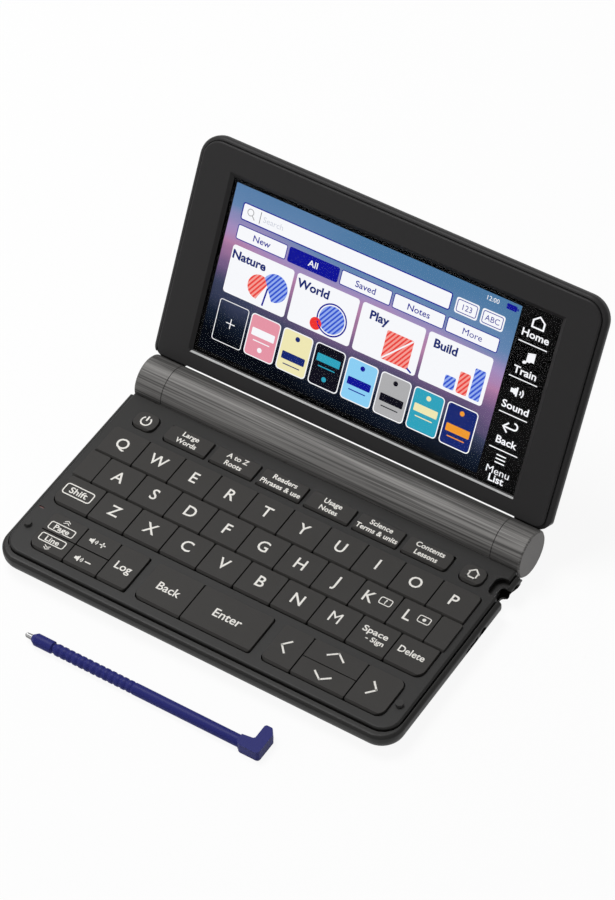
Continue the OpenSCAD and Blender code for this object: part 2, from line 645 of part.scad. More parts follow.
module top_case() {
    pocket_z = plate_z - plate_t;
    color(plastic) placed() difference() {
        union() {
            difference() {
                union() {
                    difference() {
                        slab(plate_hw, plate_front, -base_rear, base_corner - rim_w - groove,
                            seat_z, plate_z, 0.1, plate_round, 5);
                        // underside between the skirt and the plate
                        prism([-(plate_hw - skirt_w), plate_front + skirt_w, plate_hw - skirt_w,
                            cavity_back], [4, 4, 1, 1], seat_z - 1, pocket_z, 4);
                    }
                    // trays that hold the keys
                    for (g = block_openings)
                        prism(grow(g[0], opening_fit + tray_wall), g[1] + tray_wall * [1, 1, 1, 1],
                            web_z, pocket_z + 0.2, 4);
                    for (g = mode_openings) {
                        b = grow(g[0], opening_fit + tray_wall);
                        translate([b[0], b[1], web_z])
                            cube([b[2] - b[0], board_back - b[1], pocket_z + 0.2 - web_z]);
                    }
                }
                for (g = concat(block_openings, mode_openings))
                    prism(grow(g[0], opening_fit), g[1], web_z + web_t, key_top + 1, 4);
            }
            // bosses for the pivots of the rocking keys
            for (k = keys) if (k[3] == 1) for (s = [-1, 1])
                box_on(mid_x(k) + s * (stem_w + pivot_l + 1) / 2, stem_y(k), pivot_l + 1,
                    2 * pivot_boss, rock_z - pivot_boss, rock_z + pivot_boss);
            // raised blanks beside the middle letter row
            both_sides() blank();
        }
        for (k = keys) if (k[3] == 0)
            box_on(mid_x(k), stem_y(k), stem_w + 2 * stem_fit, stem_d + 2 * stem_fit, web_z - 1,
                web_z + web_t + 1);
        else {
            box_on(mid_x(k), stem_y(k), stem_w + 2 * stem_fit, rock_stem_d + 2 * stem_fit,
                web_z - 1, key_top);
            translate([0, stem_y(k), rock_z]) along_x(mid_x(k) - stem_w / 2 - pivot_l - 0.2,
                mid_x(k) + stem_w / 2 + pivot_l + 0.2) circle(pivot_r + pivot_fit, $fn = 16);
            for (s = [-1, 1]) box_on(mid_x(k), stem_y(k) + s * post_off(k), post_w + 0.7,
                post_w + 0.7, web_z - 1, web_z + web_t + 1);
        }
        barrel_room();
        // notch over the stylus head
        prism([notch_x, notch_front, lid_hw + 2, notch_back], [2.5, 0.3, 0.3, 2.5], web_z - 1,
            key_top + 1, 5);
        // the tray stands clear of the two sockets
        translate([socket_x - 0.2, -(port_y + port_w / 2 + 0.8), web_z - 1])
            cube([plate_hw - skirt_w - socket_x, port_y - jack_y + port_w / 2 + 3.4,
                web_t + 1 + eps]);
        for (p = bumper_spots) translate([p[0], p[1], plate_z - 0.6])
            cylinder(r = bumper_r + 0.05, h = 2, $fn = 16);
        translate([slot_spot[0], slot_spot[1], plate_z - 0.5])
            linear_extrude(2) foot_outline(0.7, 2);
    }
}

module blank() {
    b = [-5 * pitch_x - opening_fit - 0.3, cell(0, 1)[1] + key_gap / 2,
        -4.5 * pitch_x - key_gap / 2, cell(0, 1)[3] - key_gap / 2];
    z1 = key_top - 0.1;
    intersection() {
        prism(b, plain_r, web_z + web_t / 2, z1, 2);
        along_x(b[0] - 1, b[2] + 1) polygon([[b[1], web_z], [b[3], web_z],
            [b[3], z1 - key_chamfer], [b[3] - key_chamfer, z1], [b[1] + slope_run, z1],
            [b[1], z1 - slope_drop]]);
    }
}

socket_x = mid_x(keys[17]) + stem_w / 2 + stem_fit + flange_lip + 0.4;
bumper_r = 1.25;
bumper_h = 1.05;
bumper_y = front_y0 + front_d / 2 - 0.35;
bumper_spots = [[-(plate_hw - 2.5), bumper_y], [plate_hw - 3.6, bumper_y]];
slot_spot = [-(plate_hw - 2.2), front_y1 - 0.2];

module centre_barrel() {
    color(barrel_grey) placed() translate([0, 0, hinge_z]) difference() {
        along_x(-barrel_half, barrel_half) circle(barrel_r);
        along_x(-bore_half, bore_half) circle(bore_r);
        along_x(-cover_half, cover_half) sector(bore_r - cover_fit, barrel_r + 1,
            cover_front, cover_back);
        both_sides() along_x(barrel_half - pin_in - 0.5, barrel_half + 1)
            circle(pin_r + pin_fit);
    }
}

// Part of a ring between two angles, drawn in (y, z)
module sector(r0, r1, a0, a1) intersection() {
    difference() { circle(r1); circle(r0); }
    polygon(concat([[0, 0]], arc([0, 0], 2 * r1, a0, a1, 8)));
}

module battery_cover() {
    gap_a = cover_fit / barrel_r * 180 / PI;
    color(barrel_grey) placed() translate([0, 0, hinge_z])
        along_x(-cover_half + cover_fit, cover_half - cover_fit)
            sector(bore_r, barrel_r, cover_front + gap_a, cover_back - gap_a);
}

module battery_cells() {
    nub = 1;
    color([0.75, 0.72, 0.6]) placed() translate([0, 0, hinge_z]) for (x = [-cell_l, 0.02]) {
        along_x(x, x + cell_l - nub) circle(cell_d / 2, $fn = 32);
        along_x(x + cell_l - nub - eps, x + cell_l - 0.02) circle(2.75, $fn = 16);
    }
}

module hinge_pins() {
    color(steel) in_lid() both_sides()
        along_x(barrel_half - pin_in, barrel_half + seam + pin_out) circle(pin_r);
}

module main_board() {
    edge_x = cavity_hw - board_fit;
    color([0.1, 0.35, 0.2]) placed() {
        difference() {
            prism([-edge_x, cavity_front + board_fit, edge_x, board_back], [cavity_corner,
                cavity_corner, 1, 1], board_z, board_z + board_t, 4);
            for (p = screw_posts) translate([p[0], p[1], board_z - 1])
                cylinder(r = post_r + 0.3, h = board_t + 2, $fn = 16);
            // room for the head housing and for the earphone socket
            translate([notch_x - 1.6, notch_front - 1.6, board_z - 1])
                cube([lid_hw - notch_x, -notch_front, board_t + 2]);
            translate([socket_x - 0.3, -jack_y - jack_block / 2 - 0.3, board_z - 1])
                cube([lid_hw - socket_x, jack_block + 0.6, board_t + 2]);
        }
        for (k = keys) if (k[3] == 0) dome(mid_x(k), stem_y(k));
            else for (s = [-1, 1]) dome(mid_x(k), stem_y(k) + s * post_off(k));
    }
    // data socket: a housing on the board, with its nose in the wall
    color(steel) placed() translate([socket_x, -port_y, 0]) difference() {
        union() {
            translate([0, -port_w / 2 - port_wall, board_top]) cube([cavity_hw - 0.2 - socket_x,
                port_w + 2 * port_wall, socket_z + port_h / 2 + port_wall - board_top]);
            translate([0, -port_w / 2 - port_wall, socket_z - port_h / 2 - port_wall])
                cube([base_hw - 0.9 - socket_x, port_w + 2 * port_wall, port_h + 2 * port_wall]);
        }
        translate([2.5, -port_w / 2, socket_z - port_h / 2]) cube([lid_hw, port_w, port_h]);
    }
    color(steel) placed() translate([socket_x + 2, -port_y - port_w / 2 + 1, socket_z - 0.3])
        cube([base_hw - 2.2 - socket_x - 2, port_w - 2, 0.6]);
    // earphone socket
    color([0.15, 0.15, 0.15]) placed() difference() {
        translate([socket_x, -jack_y - jack_block / 2, board_z])
            cube([cavity_hw - socket_x - 0.05, jack_block, socket_z + jack_r + 0.15 - board_z]);
        translate([socket_x + 0.8, -jack_y, socket_z]) rotate([0, 90, 0])
            cylinder(r = jack_r, h = lid_hw - socket_x);
    }
    // battery contacts
    color(steel) placed() translate([0, 0, hinge_z]) both_sides() {
        along_x(bore_half - 0.4, bore_half) circle(4, $fn = 16);
        along_x(cell_l, bore_half - 0.4 + eps) circle(2.4, $fn = 16);
    }
}

jack_block = 2 * jack_r + 1.2;
port_wall = 0.2;

module dome(x, y) translate([x, y, board_top]) cylinder(r = 1.5, h = dome_h, $fn = 6);

module rubber_pads() {
    color(rubber) placed() {
        for (p = foot_spots) translate([p[0], p[1], 0])
            linear_extrude(foot_h + foot_sink) foot_outline(foot_w, foot_l);
        // feet under the barrel, hollowed to its surface
        difference() {
            both_sides() translate([(cover_half + barrel_half) / 2, -1.5, 0])
                linear_extrude(foot_h + 0.8) foot_outline(rear_foot_w, rear_foot_l);
            translate([0, 0, hinge_z]) along_x(-lid_hw, lid_hw) circle(barrel_r, $fn = 96);
        }
        for (p = bumper_spots) translate([p[0], p[1], plate_z - 0.6])
            cylinder(r = bumper_r, h = 0.6 + bumper_h, $fn = 16);
    }
}

// ---- Lid ----

// The lid's slabs run from the hinge to the free end, so the slab is turned round
module lid_slab(hw, v0, v1, rc, z0, z1, rl, ru, n = 6)
    rotate([0, 0, 180]) slab(hw, -v1, -v0, rc, z0, z1, rl, ru, n);

lug_foot = 3.5;

module lid_back() {
    color(lid_grey) in_lid() difference() {
        lid_slab(lid_hw, lug_foot, lid_reach, lid_corner, back_z, lid_rim_z, lid_back_r,
            lid_front_r);
        prism([-lid_seat_hw, -5, lid_seat_hw, lid_seat_top], [1, 1, lid_corner - lid_rim,
            lid_corner - lid_rim], lid_seat_z, 1);
        prism([-(lid_seat_hw - lid_ledge), bezel_foot + 2, lid_seat_hw - lid_ledge,
            lid_seat_top - lid_ledge], [1, 1, lid_corner - lid_rim - lid_ledge,
            lid_corner - lid_rim - lid_ledge], back_z + lid_wall, 1);
        // middle: clear of the fixed barrel
        along_x(-barrel_half - seam, barrel_half + seam) circle(barrel_r + lid_gap);
        translate([-barrel_half - seam, 0, back_z - 1])
            cube([2 * (barrel_half + seam), lid_foot, lid_t + 2]);
        both_sides() {
            // lugs that hold the turning ends
            along_x(barrel_half + seam - eps, barrel_end + 0.05) circle(barrel_r + 0.01);
            translate([barrel_end + 0.05 - eps, 0, back_z - 1]) cube([5, lid_foot, lid_t + 2]);
            // slot for the tongue of a turning end
            translate([tongue_x0 - 0.1, 0, tongue_z0 - 0.1])
                cube([tongue_x1 - tongue_x0 + 0.2, bezel_foot + 3, tongue_z1 - tongue_z0 + 0.2]);
            // rounded lower corner
            translate([lid_hw, lid_foot, back_z - 1]) linear_extrude(lid_t + 2)
                polygon(concat([[1, -1]], arc([-lid_foot_corner, lid_foot_corner],
                    lid_foot_corner, 0, -90, 6), [[-lid_foot_corner, -1]]));
        }
    }
}

tongue_x0 = max(barrel_half + seam + 1, lcd_hw + 0.8);
tongue_x1 = barrel_end - 1;
tongue_z0 = back_z + lid_wall + 0.3;
tongue_z1 = lid_seat_z - 0.4;
tongue_v = 20;

module hinge_caps() {
    bevel = 0.5;
    color(barrel_grey) in_lid() both_sides() difference() {
        union() {
            rotate([0, 90, 0]) rotate_extrude() polygon([[0, barrel_half + seam],
                [barrel_r, barrel_half + seam], [barrel_r, barrel_end - bevel],
                [barrel_r - bevel, barrel_end], [0, barrel_end]]);
            translate([tongue_x0, 2, tongue_z0])
                cube([tongue_x1 - tongue_x0, tongue_v - 2, tongue_z1 - tongue_z0]);
        }
        along_x(barrel_half, barrel_half + seam + pin_out) circle(pin_r + 0.01);
    }
}

// Four-sided bevelled opening, cut by two crossed sections
module view_cut() intersection() {
    along_y(0, lid_reach) polygon([[-view_w / 2, bezel_under - 1], [view_w / 2, bezel_under - 1],
        [view_w / 2, bezel_under], [view_w / 2 + view_bevel, face_z],
        [view_w / 2 + view_bevel, face_z + 1], [-view_w / 2 - view_bevel, face_z + 1],
        [-view_w / 2 - view_bevel, face_z], [-view_w / 2, bezel_under]]);
    along_x(-lid_hw, lid_hw) polygon([[view_foot, bezel_under - 1],
        [view_foot + view_h, bezel_under - 1], [view_foot + view_h, bezel_under],
        [view_foot + view_h + view_bevel, face_z], [view_foot + view_h + view_bevel, face_z + 1],
        [view_foot - view_bevel_foot, face_z + 1], [view_foot - view_bevel_foot, face_z],
        [view_foot, bezel_under]]);
}

module lid_bezel() {
    skirt = 1.2;
    color(lid_grey) in_lid() difference() {
        lid_slab(bezel_hw, bezel_foot, bezel_top, lid_corner - lid_rim - bezel_groove,
            lid_seat_z, face_z, 0.1, bezel_round, 5);
        prism([-(bezel_hw - skirt), bezel_foot + skirt, bezel_hw - skirt, bezel_top - skirt],
            [1, 1, 4, 4], lid_seat_z - 1, bezel_under);
        view_cut();
    }
}

module touch_glass() {
    color([0.05, 0.06, 0.1]) in_lid()
        translate([-(view_w / 2 + glass_lap), view_foot - glass_lap, glass_z])
            cube([view_w + 2 * glass_lap, view_h + 2 * glass_lap, glass_t]);
}

module lcd_module() {
    z0 = back_z + lid_wall + lcd_foam;
    color([0.3, 0.3, 0.32]) in_lid() translate([-lcd_hw, view_foot - lcd_lap, z0])
        cube([2 * lcd_hw, view_h + 2 * lcd_lap, glass_z - 0.05 - z0]);
}

// ---- Stylus, x measured from its point ----

module stylus_at() translate([stylus_x, hinge_y - stylus_y, collar_r]) children();

grip_x0 = tip_l + collar_l + 0.7;
rib = grip_l / grip_n;
// Radius along the pen: nose, collar, ring notch, ribbed grip, shaft
stylus_profile = concat(
    [[tip_l, 0], [tip_l, 1.15], [tip_l + 1.4, collar_r], [tip_l + collar_l - 0.3, collar_r],
     [tip_l + collar_l, collar_r - 0.3], [tip_l + collar_l + 0.1, 1.45], [grip_x0 - 0.1, 1.45],
     [grip_x0, stylus_r - 0.3]],
    [for (i = [0:grip_n - 1]) for (p = [[0.15, stylus_r - 0.22], [0.35, stylus_r],
        [0.8, stylus_r], [1, stylus_r - 0.22]]) [grip_x0 + rib * (i + p[0]), p[1]]],
    [[grip_x0 + grip_l + 0.6, stylus_r], [stylus_l - hook_w, stylus_r],
     [stylus_l - hook_w, 0]]);

// Head seen from above: it thickens away from the hook and turns square into it
head_outline = let (a = stylus_l - hook_w - 4.2, r = stylus_r, b = stylus_r + bulge) concat(
    [[a, r - 0.5], [a, -r + 0.5]], arc([a + 1.6, -b + 1.4], 1.4, 200, 270, 4),
    arc([stylus_l - 1.1, -b + 1.1], 1.1, 270, 360, 4),
    [[stylus_l, hook_l - 2.2], [stylus_l - 1.2, hook_l - 0.3], [stylus_l - 1.6, hook_l],
     [stylus_l - hook_w + 0.5, hook_l], [stylus_l - hook_w, hook_l - 0.6],
     [stylus_l - hook_w, r + 0.5], [stylus_l - hook_w - 0.5, r]]);

module stylus_body() {
    color(blue) stylus_at() difference() {
        union() {
            rotate([0, 90, 0]) rotate_extrude($fn = 16)
                polygon([for (p = stylus_profile) [p[1], p[0]]]);
            translate([0, 0, -collar_r]) linear_extrude(2 * collar_r) polygon(head_outline);
        }
        rotate([0, 90, 0]) cylinder(r = 0.62, h = tip_l + 4, $fn = 14);
    }
}

module stylus_tip() {
    color(steel) stylus_at() rotate([0, 90, 0]) rotate_extrude($fn = 16)
        polygon(concat([[0, tip_l + 4], [0.6, tip_l + 4], [0.6, tip_l - eps], [0.95, tip_l - eps],
            [0.8, 0.6]], arc([0, 0.7], 0.7, 0, -90, 4)));
}

lower_case();
top_case();
centre_barrel();
battery_cells();
main_board();
rubber_pads();
battery_cover();
lid_back();
lid_bezel();
touch_glass();
lcd_module();
hinge_caps();
hinge_pins();
stylus_body();
stylus_tip();
for (k = keys) key(k);
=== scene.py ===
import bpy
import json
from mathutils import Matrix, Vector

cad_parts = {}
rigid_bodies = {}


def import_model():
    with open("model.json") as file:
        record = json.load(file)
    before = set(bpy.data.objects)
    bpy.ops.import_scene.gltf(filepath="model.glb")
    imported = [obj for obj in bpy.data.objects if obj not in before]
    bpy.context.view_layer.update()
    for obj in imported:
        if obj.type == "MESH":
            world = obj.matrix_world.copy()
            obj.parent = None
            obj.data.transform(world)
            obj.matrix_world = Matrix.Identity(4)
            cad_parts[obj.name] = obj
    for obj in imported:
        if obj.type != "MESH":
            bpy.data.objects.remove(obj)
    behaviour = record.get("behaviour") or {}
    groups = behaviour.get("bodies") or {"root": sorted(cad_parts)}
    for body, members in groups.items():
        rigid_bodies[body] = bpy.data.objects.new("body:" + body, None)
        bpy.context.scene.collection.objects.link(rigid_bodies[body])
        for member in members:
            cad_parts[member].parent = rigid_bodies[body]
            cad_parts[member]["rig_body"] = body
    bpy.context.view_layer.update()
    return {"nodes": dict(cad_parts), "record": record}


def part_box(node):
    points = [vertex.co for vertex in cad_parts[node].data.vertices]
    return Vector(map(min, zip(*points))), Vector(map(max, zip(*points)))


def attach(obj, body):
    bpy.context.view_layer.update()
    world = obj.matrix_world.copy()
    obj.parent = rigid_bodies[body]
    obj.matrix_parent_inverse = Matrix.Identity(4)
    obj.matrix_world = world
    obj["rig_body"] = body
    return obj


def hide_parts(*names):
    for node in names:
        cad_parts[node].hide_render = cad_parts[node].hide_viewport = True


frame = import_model()

import json
import math

import bpy
from mathutils import Euler, Matrix, Vector

# ---- Sizes of the dictionary, in millimetres ----

MM = 0.001                # in metres
joints = frame["record"]["behaviour"]["joints"]
HINGE_Y = joints[0]["pos_m"][1] / MM    # the lid's axis in the shared frame
HINGE_Z = 8.25            # its height over the desk
LID_TILT = 60.5           # degrees, as drawn
KEY_TOP = 9.5             # top of the keys
PLATE_Z = 8.65            # top of the keyboard plate
LCD_FRONT = -3.25         # front of the display module, from the lid's own plane
INK = 0.012               # how far printed marks stand up
SCREEN_INK = 0.004        # thickness of what the display shows

nodes = frame["nodes"]
slots = {part["node"]: part["material_slot"] for part in frame["record"]["subparts"]}


# ---- Camera at the photograph's place ----

SENSOR = 24               # height of the camera's sensor
FOCAL, PHOTO = 3999.48, 900   # focal length and height of the photograph, in pixels


def place_camera():
    camera = bpy.data.cameras.new("camera")
    camera.sensor_fit = "VERTICAL"
    camera.sensor_height = SENSOR
    camera.lens = SENSOR * FOCAL / PHOTO
    camera.clip_start = 0.01
    holder = bpy.data.objects.new("camera", camera)
    bpy.context.scene.collection.objects.link(holder)
    right = Vector((0.83723, 0.54495, -0.04556))
    down = Vector((0.38800, -0.65066, -0.65276))
    ahead = Vector((-0.38537, 0.52883, -0.75620))
    turn = Matrix((right, -down, -ahead)).transposed().to_4x4()
    spot = Vector((476.271, -668.123 + HINGE_Y, 954.482 + KEY_TOP)) * MM
    holder.matrix_world = Matrix.Translation(spot) @ turn
    bpy.context.scene.camera = holder


place_camera()
bpy.context.scene.view_settings.view_transform = "Standard"


# ---- Finishes ----

RGBA_ENDS, RGBA_RESULT = (6, 7), 2   # a Mix node's sockets for two colours and their mix


class Value:
    """A socket among the nodes. An ordinary sum on it adds the Math node."""

    def __init__(self, nodes, socket):
        self.nodes, self.socket = nodes, socket

    def math(self, operation, other, flip=False):
        terms = (other, self) if flip else (self, other)
        return self.nodes.node("ShaderNodeMath", {"operation": operation}, *terms)

    def beside(self, output):
        """Another output of the same node."""
        return Value(self.nodes, self.socket.node.outputs[output])

    def __add__(self, other): return self.math("ADD", other)
    def __sub__(self, other): return self.math("SUBTRACT", other)
    def __rsub__(self, other): return self.math("SUBTRACT", other, True)
    def __mul__(self, other): return self.math("MULTIPLY", other)
    def __truediv__(self, other): return self.math("DIVIDE", other)
    def __gt__(self, other): return self.math("GREATER_THAN", other)
    __radd__ = __add__
    __rmul__ = __mul__


class Nodes:
    """The nodes of a finish or of the room's light."""

    def __init__(self, tree):
        self.tree = tree

    def put(self, target, value):
        if isinstance(value, Value):
            self.tree.links.new(value.socket, target)
        else:
            target.default_value = value

    def node(self, kind, settings, *values, out=0, **named):
        """Adds a node: its settings first, then the values or links of its sockets."""
        made = self.tree.nodes.new(kind)
        for key, value in settings.items():
            if key == "stops":
                ramp = made.color_ramp
                while len(ramp.elements) < len(value):
                    ramp.elements.new(0.5)
                for element, (at, colour) in zip(ramp.elements, value):
                    element.position, element.color = at, (*colour, 1)
            else:
                setattr(made, key, value)
        for index, value in enumerate(values):
            self.put(made.inputs[index], value)
        for key, value in named.items():
            self.put(made.inputs[key.replace("_", " ")], value)
        return Value(self, made.outputs[out])

    def seen(self):
        """1 for what the camera sees, directly, mirrored or through glass, and 0 for the rest."""
        ray = self.node("ShaderNodeLightPath", {}, out="Is Camera Ray")
        others = [ray.beside(kind) for kind in ("Is Glossy Ray", "Is Transmission Ray")]
        for other in others:
            ray = ray.math("MAXIMUM", other)
        return ray

    def blend(self, factor, one, two, end):
        """Mix two shaders, and lead the result to the output node named end."""
        mixed = self.node("ShaderNodeMixShader", {}, factor, one, two)
        self.put(self.tree.nodes[end].inputs["Surface"], mixed)


class Finish(Nodes):
    """A material, its shader's own settings, and its nodes."""

    def __init__(self, name, **settings):
        self.material = bpy.data.materials.new(name)
        self.material.use_nodes = True
        super().__init__(self.material.node_tree)
        self.shader = self.tree.nodes["Principled BSDF"]
        self.feed(**settings)
        self.place = self.node("ShaderNodeTexCoord", {}, out="Object")

    def feed(self, **links):
        for socket, value in links.items():
            self.put(self.shader.inputs[socket.replace("_", " ")], value)
        return self

    def scaled(self, scale, turn=(0, 0, 0)):
        return self.node("ShaderNodeMapping", {}, Vector=self.place, Scale=scale, Rotation=turn)

    def noise(self, scale, detail, at=None):
        return self.node("ShaderNodeTexNoise", {}, Vector=at or self.place, Scale=scale,
                         Detail=detail, Roughness=0.5)

    def mix(self, factor, *colours):
        """A colour between two others."""
        mixed = self.node("ShaderNodeMix", {"data_type": "RGBA"}, factor, out=RGBA_RESULT)
        for index, colour in zip(RGBA_ENDS, colours):
            self.put(mixed.socket.node.inputs[index], (*colour, 1))
        return mixed

    def bump(self, height, depth, strength):
        return self.node("ShaderNodeBump", {}, Height=height, Distance=depth, Strength=strength)


def shade(colour, factor):
    """The same colour, darker or lighter."""
    return tuple(c * factor for c in colour)


def moulded(name, colour, rough, grain=0.018, cloud=0.1, **settings):
    """Fine spark-eroded plastic: a small even grain, and slow changes of tone and sheen."""
    f = Finish(name, **{"Specular_IOR_Level": 0.16, **settings})
    fine = f.noise(5200, 1.5)
    broad = f.noise(55, 3)
    speck = f.noise(1900, 2)
    tone = (broad - 0.5) * cloud + (speck - 0.5) * cloud + 0.5
    return f.feed(Base_Color=f.mix(tone, shade(colour, 0.72), shade(colour, 1.28)),
                  Roughness=(fine - 0.5) * 0.25 + (broad - 0.5) * 0.12 + rough,
                  Normal=f.bump(fine, grain * MM, 0.5))


def hairline(name, colour):
    """Brushed lengthwise: streaks that run along X, of several widths."""
    f = Finish(name, Metallic=0.85)
    wide = f.noise(1, 2, at=f.scaled((8, 800, 800)))
    fine = f.noise(1, 2, at=f.scaled((22, 2000, 2000)))
    tone = (wide - 0.5) * 1.8 + (fine - 0.5) * 3.2 + 0.5
    return f.feed(Base_Color=f.mix(tone, shade(colour, 0.52), shade(colour, 1.55)),
                  Roughness=(fine - 0.5) * 0.2 + 0.64, Normal=f.bump(fine, 0.01 * MM, 0.4))


def lit(name):
    """A part of the display, which gives light and mirrors nothing."""
    return Finish(name, Base_Color=(0, 0, 0, 1), Roughness=0.4, Emission_Strength=1.0,
                  Specular_IOR_Level=0.0)


def glowing(name, colour):
    """One lit colour, with the faint mesh of the display's pixels."""
    f = lit(name)
    mesh = f.noise(3500, 1)
    return f.feed(Emission_Color=f.mix(mesh, shade(colour, 0.96), shade(colour, 1.04)))


GROUND_FOOT, GROUND_RISE = 16, 57   # the lit ground's lower edge on the lid, and its height


def rest_v(v):
    """Where a height v on the lid falls along the turned Y of an unturned lid, in metres."""
    tilt = math.radians(LID_TILT)
    return (v + HINGE_Y * math.cos(tilt) + HINGE_Z * math.sin(tilt)) * MM


def dusk():
    """The display's background: a plain evening sky that fades from blue through rose to night."""
    f = lit("screen_dusk")
    # the height on the lid, from the ground's lower edge to its upper edge
    back = f.scaled((1, 1, 1), (-math.radians(LID_TILT), 0, 0))
    across = f.node("ShaderNodeSeparateXYZ", {}, back, out="X")
    rise = (across.beside("Y") - rest_v(GROUND_FOOT)) / (GROUND_RISE * MM)
    drift = f.noise(26, 3, at=f.scaled((1, 2.6, 2.6)))
    sway = (drift - 0.5) * 0.28 + rise + across * 1.6
    sky = f.node("ShaderNodeValToRGB", {"stops": [
        (0.00, (0.002, 0.003, 0.006)), (0.16, (0.008, 0.014, 0.030)), (0.29, (0.045, 0.055, 0.11)),
        (0.41, (0.17, 0.105, 0.23)), (0.53, (0.44, 0.21, 0.38)), (0.64, (0.36, 0.26, 0.50)),
        (0.80, (0.13, 0.235, 0.43)), (1.00, (0.075, 0.19, 0.36))]}, sway)
    return f.feed(Emission_Color=sky)


STRIPE_PITCH, STRIPE_LEAN = 1.15, 38   # millimetres and degrees
WAVE_PER_METRE = 0.314                 # a wave texture's Scale for one stripe in a metre


def striped(name, dark, light):
    """A lit mark with slanting stripes across the lid."""
    f = lit(name)
    wave = f.node("ShaderNodeTexWave", {"wave_type": "BANDS", "bands_direction": "X"},
                  Vector=f.scaled((1, 1, 1), (0, -math.radians(STRIPE_LEAN), 0)),
                  Scale=1000 / STRIPE_PITCH * WAVE_PER_METRE)
    return f.feed(Emission_Color=f.mix((wave - 0.42) * 9, dark, light))


def turned_steel(name, dark, light):
    """Metal turned on a lathe, with fine rings round X."""
    f = Finish(name, Metallic=1.0)
    rings = f.noise(1, 2, at=f.scaled((5200, 260, 260)))
    return f.feed(Base_Color=f.mix(rings, (dark, dark, dark), (light, light, light)),
                  Roughness=(rings - 0.5) * 0.2 + 0.34, Normal=f.bump(rings, 0.01 * MM, 0.4))


def foot_rubber():
    """Dull rubber with a coarse grain."""
    f = Finish("foot_rubber")
    fine = f.noise(2600, 3)
    return f.feed(Base_Color=f.mix(fine, (0.012, 0.0118, 0.0113), (0.026, 0.025, 0.024)),
                  Roughness=(fine - 0.5) * 0.2 + 0.82, Normal=f.bump(fine, 0.03 * MM, 0.6))


def solder_mask():
    """The board's green lacquer over its tracks."""
    f = Finish("solder_mask")
    tracks = f.node("ShaderNodeTexBrick", {"offset": 0.4, "squash": 0.7}, Vector=f.place,
                    Scale=420, Mortar_Size=0.03, out=1)
    return f.feed(Base_Color=f.mix(tracks, (0.012, 0.09, 0.045), (0.03, 0.17, 0.08)),
                  Roughness=(f.noise(900, 2) - 0.5) * 0.2 + 0.4)


CELL_PITCH = 50.5         # from one cell's end to the next one's


def cell_sleeve():
    """The cells' pale sleeve, with a dark band at one end of each."""
    f = Finish("cell_sleeve")
    along = f.node("ShaderNodeSeparateXYZ", {}, f.place, out="X")
    ring = f.node("ShaderNodeMath", {"operation": "FRACT"}, along / (CELL_PITCH * MM) + 4.0)
    scuff = f.noise(300, 3)
    return f.feed(Base_Color=f.mix(ring > 0.72, (0.50, 0.49, 0.45), (0.16, 0.16, 0.17)),
                  Roughness=(scuff - 0.5) * 0.2 + 0.35)


def touch_panel():
    """Clear glass, barely smeared."""
    f = Finish("touch_panel", Base_Color=(1, 1, 1, 1), Transmission_Weight=1.0, IOR=1.08)
    smear = f.noise(45, 4)
    return f.feed(Roughness=(smear - 0.5) * 0.03 + 0.03)


def display_black():
    """The unlit border of the display."""
    f = Finish("display_black", Specular_IOR_Level=0.04)
    fine = f.noise(1400, 2)
    return f.feed(Base_Color=f.mix(fine, (0.0012, 0.0012, 0.0014), (0.003, 0.003, 0.0032)),
                  Roughness=(fine - 0.5) * 0.1 + 0.3)


def printed(name, colour):
    """Printing ink, or a small part in one plain colour."""
    f = Finish(name)
    fine = f.noise(2200, 2)
    return f.feed(Base_Color=f.mix(fine, shade(colour, 0.88), shade(colour, 1.08)),
                  Roughness=(fine - 0.5) * 0.2 + 0.5)


finishes = {
    "case": moulded("case_plastic", (0.0100, 0.0096, 0.0090), 0.42, Specular_IOR_Level=0.2),
    "keys": moulded("key_plastic", (0.0315, 0.0298, 0.0280), 0.55),
    "lid": moulded("lid_plastic", (0.020, 0.0192, 0.0197), 0.48),
    "barrel": hairline("barrel_hairline", (0.106, 0.103, 0.100)),
    "barrel_face": moulded("barrel_end_face", (0.125, 0.121, 0.118), 0.5, 0.01, 0.25, Metallic=0.8),
    "cell": cell_sleeve(),
    "board": solder_mask(),
    "rubber": foot_rubber(),
    "glass": touch_panel(),
    "display": display_black(),
    "steel": turned_steel("turned_steel", 0.17, 0.34),
    "nickel": turned_steel("socket_nickel", 0.55, 0.8),
    "stylus": moulded("pen_blue", (0.019, 0.022, 0.155), 0.45, 0.010, 0.08,
                      Specular_IOR_Level=0.12),
    "ink": printed("key_print", (0.80, 0.78, 0.73)),
    "dusk": dusk(),
    "white": glowing("screen_white", (0.93, 0.94, 0.97)),
    "paper": glowing("screen_paper", (0.86, 0.80, 0.46)),
    "rose": glowing("screen_rose", (0.78, 0.30, 0.38)),
    "navy": glowing("screen_navy", (0.010, 0.022, 0.16)),
    "royal": glowing("screen_royal", (0.006, 0.008, 0.30)),
    "teal": glowing("screen_teal", (0.03, 0.36, 0.50)),
    "sky": glowing("screen_sky", (0.26, 0.62, 0.90)),
    "grey": glowing("screen_grey", (0.42, 0.42, 0.43)),
    "dim": glowing("screen_dim", (0.62, 0.64, 0.72)),
    "night": glowing("screen_night", (0.006, 0.006, 0.012)),
    "lens": printed("lens_red", (0.05, 0.004, 0.003)),
    "jack": printed("jack_black", (0.006, 0.006, 0.006)),
    # a pale grey on the display's polished lower lip, painted on as its highlight
    "lip": moulded("lip_painted_highlight", (0.44, 0.44, 0.44), 0.5, 0.006, 0.1),
    "amber": glowing("screen_amber", (0.85, 0.32, 0.03)),
    "red": glowing("screen_red", (0.86, 0.035, 0.03)),
    "red_lines": striped("screen_red_lines", (0.82, 0.06, 0.05), (0.92, 0.34, 0.30)),
    "blue_lines": striped("screen_blue_lines", (0.035, 0.09, 0.62), (0.30, 0.42, 0.86)),
}


def wear(piece, finish):
    """Give a piece this finish and no other."""
    piece.data.materials.clear()
    piece.data.materials.append(finishes[finish].material)


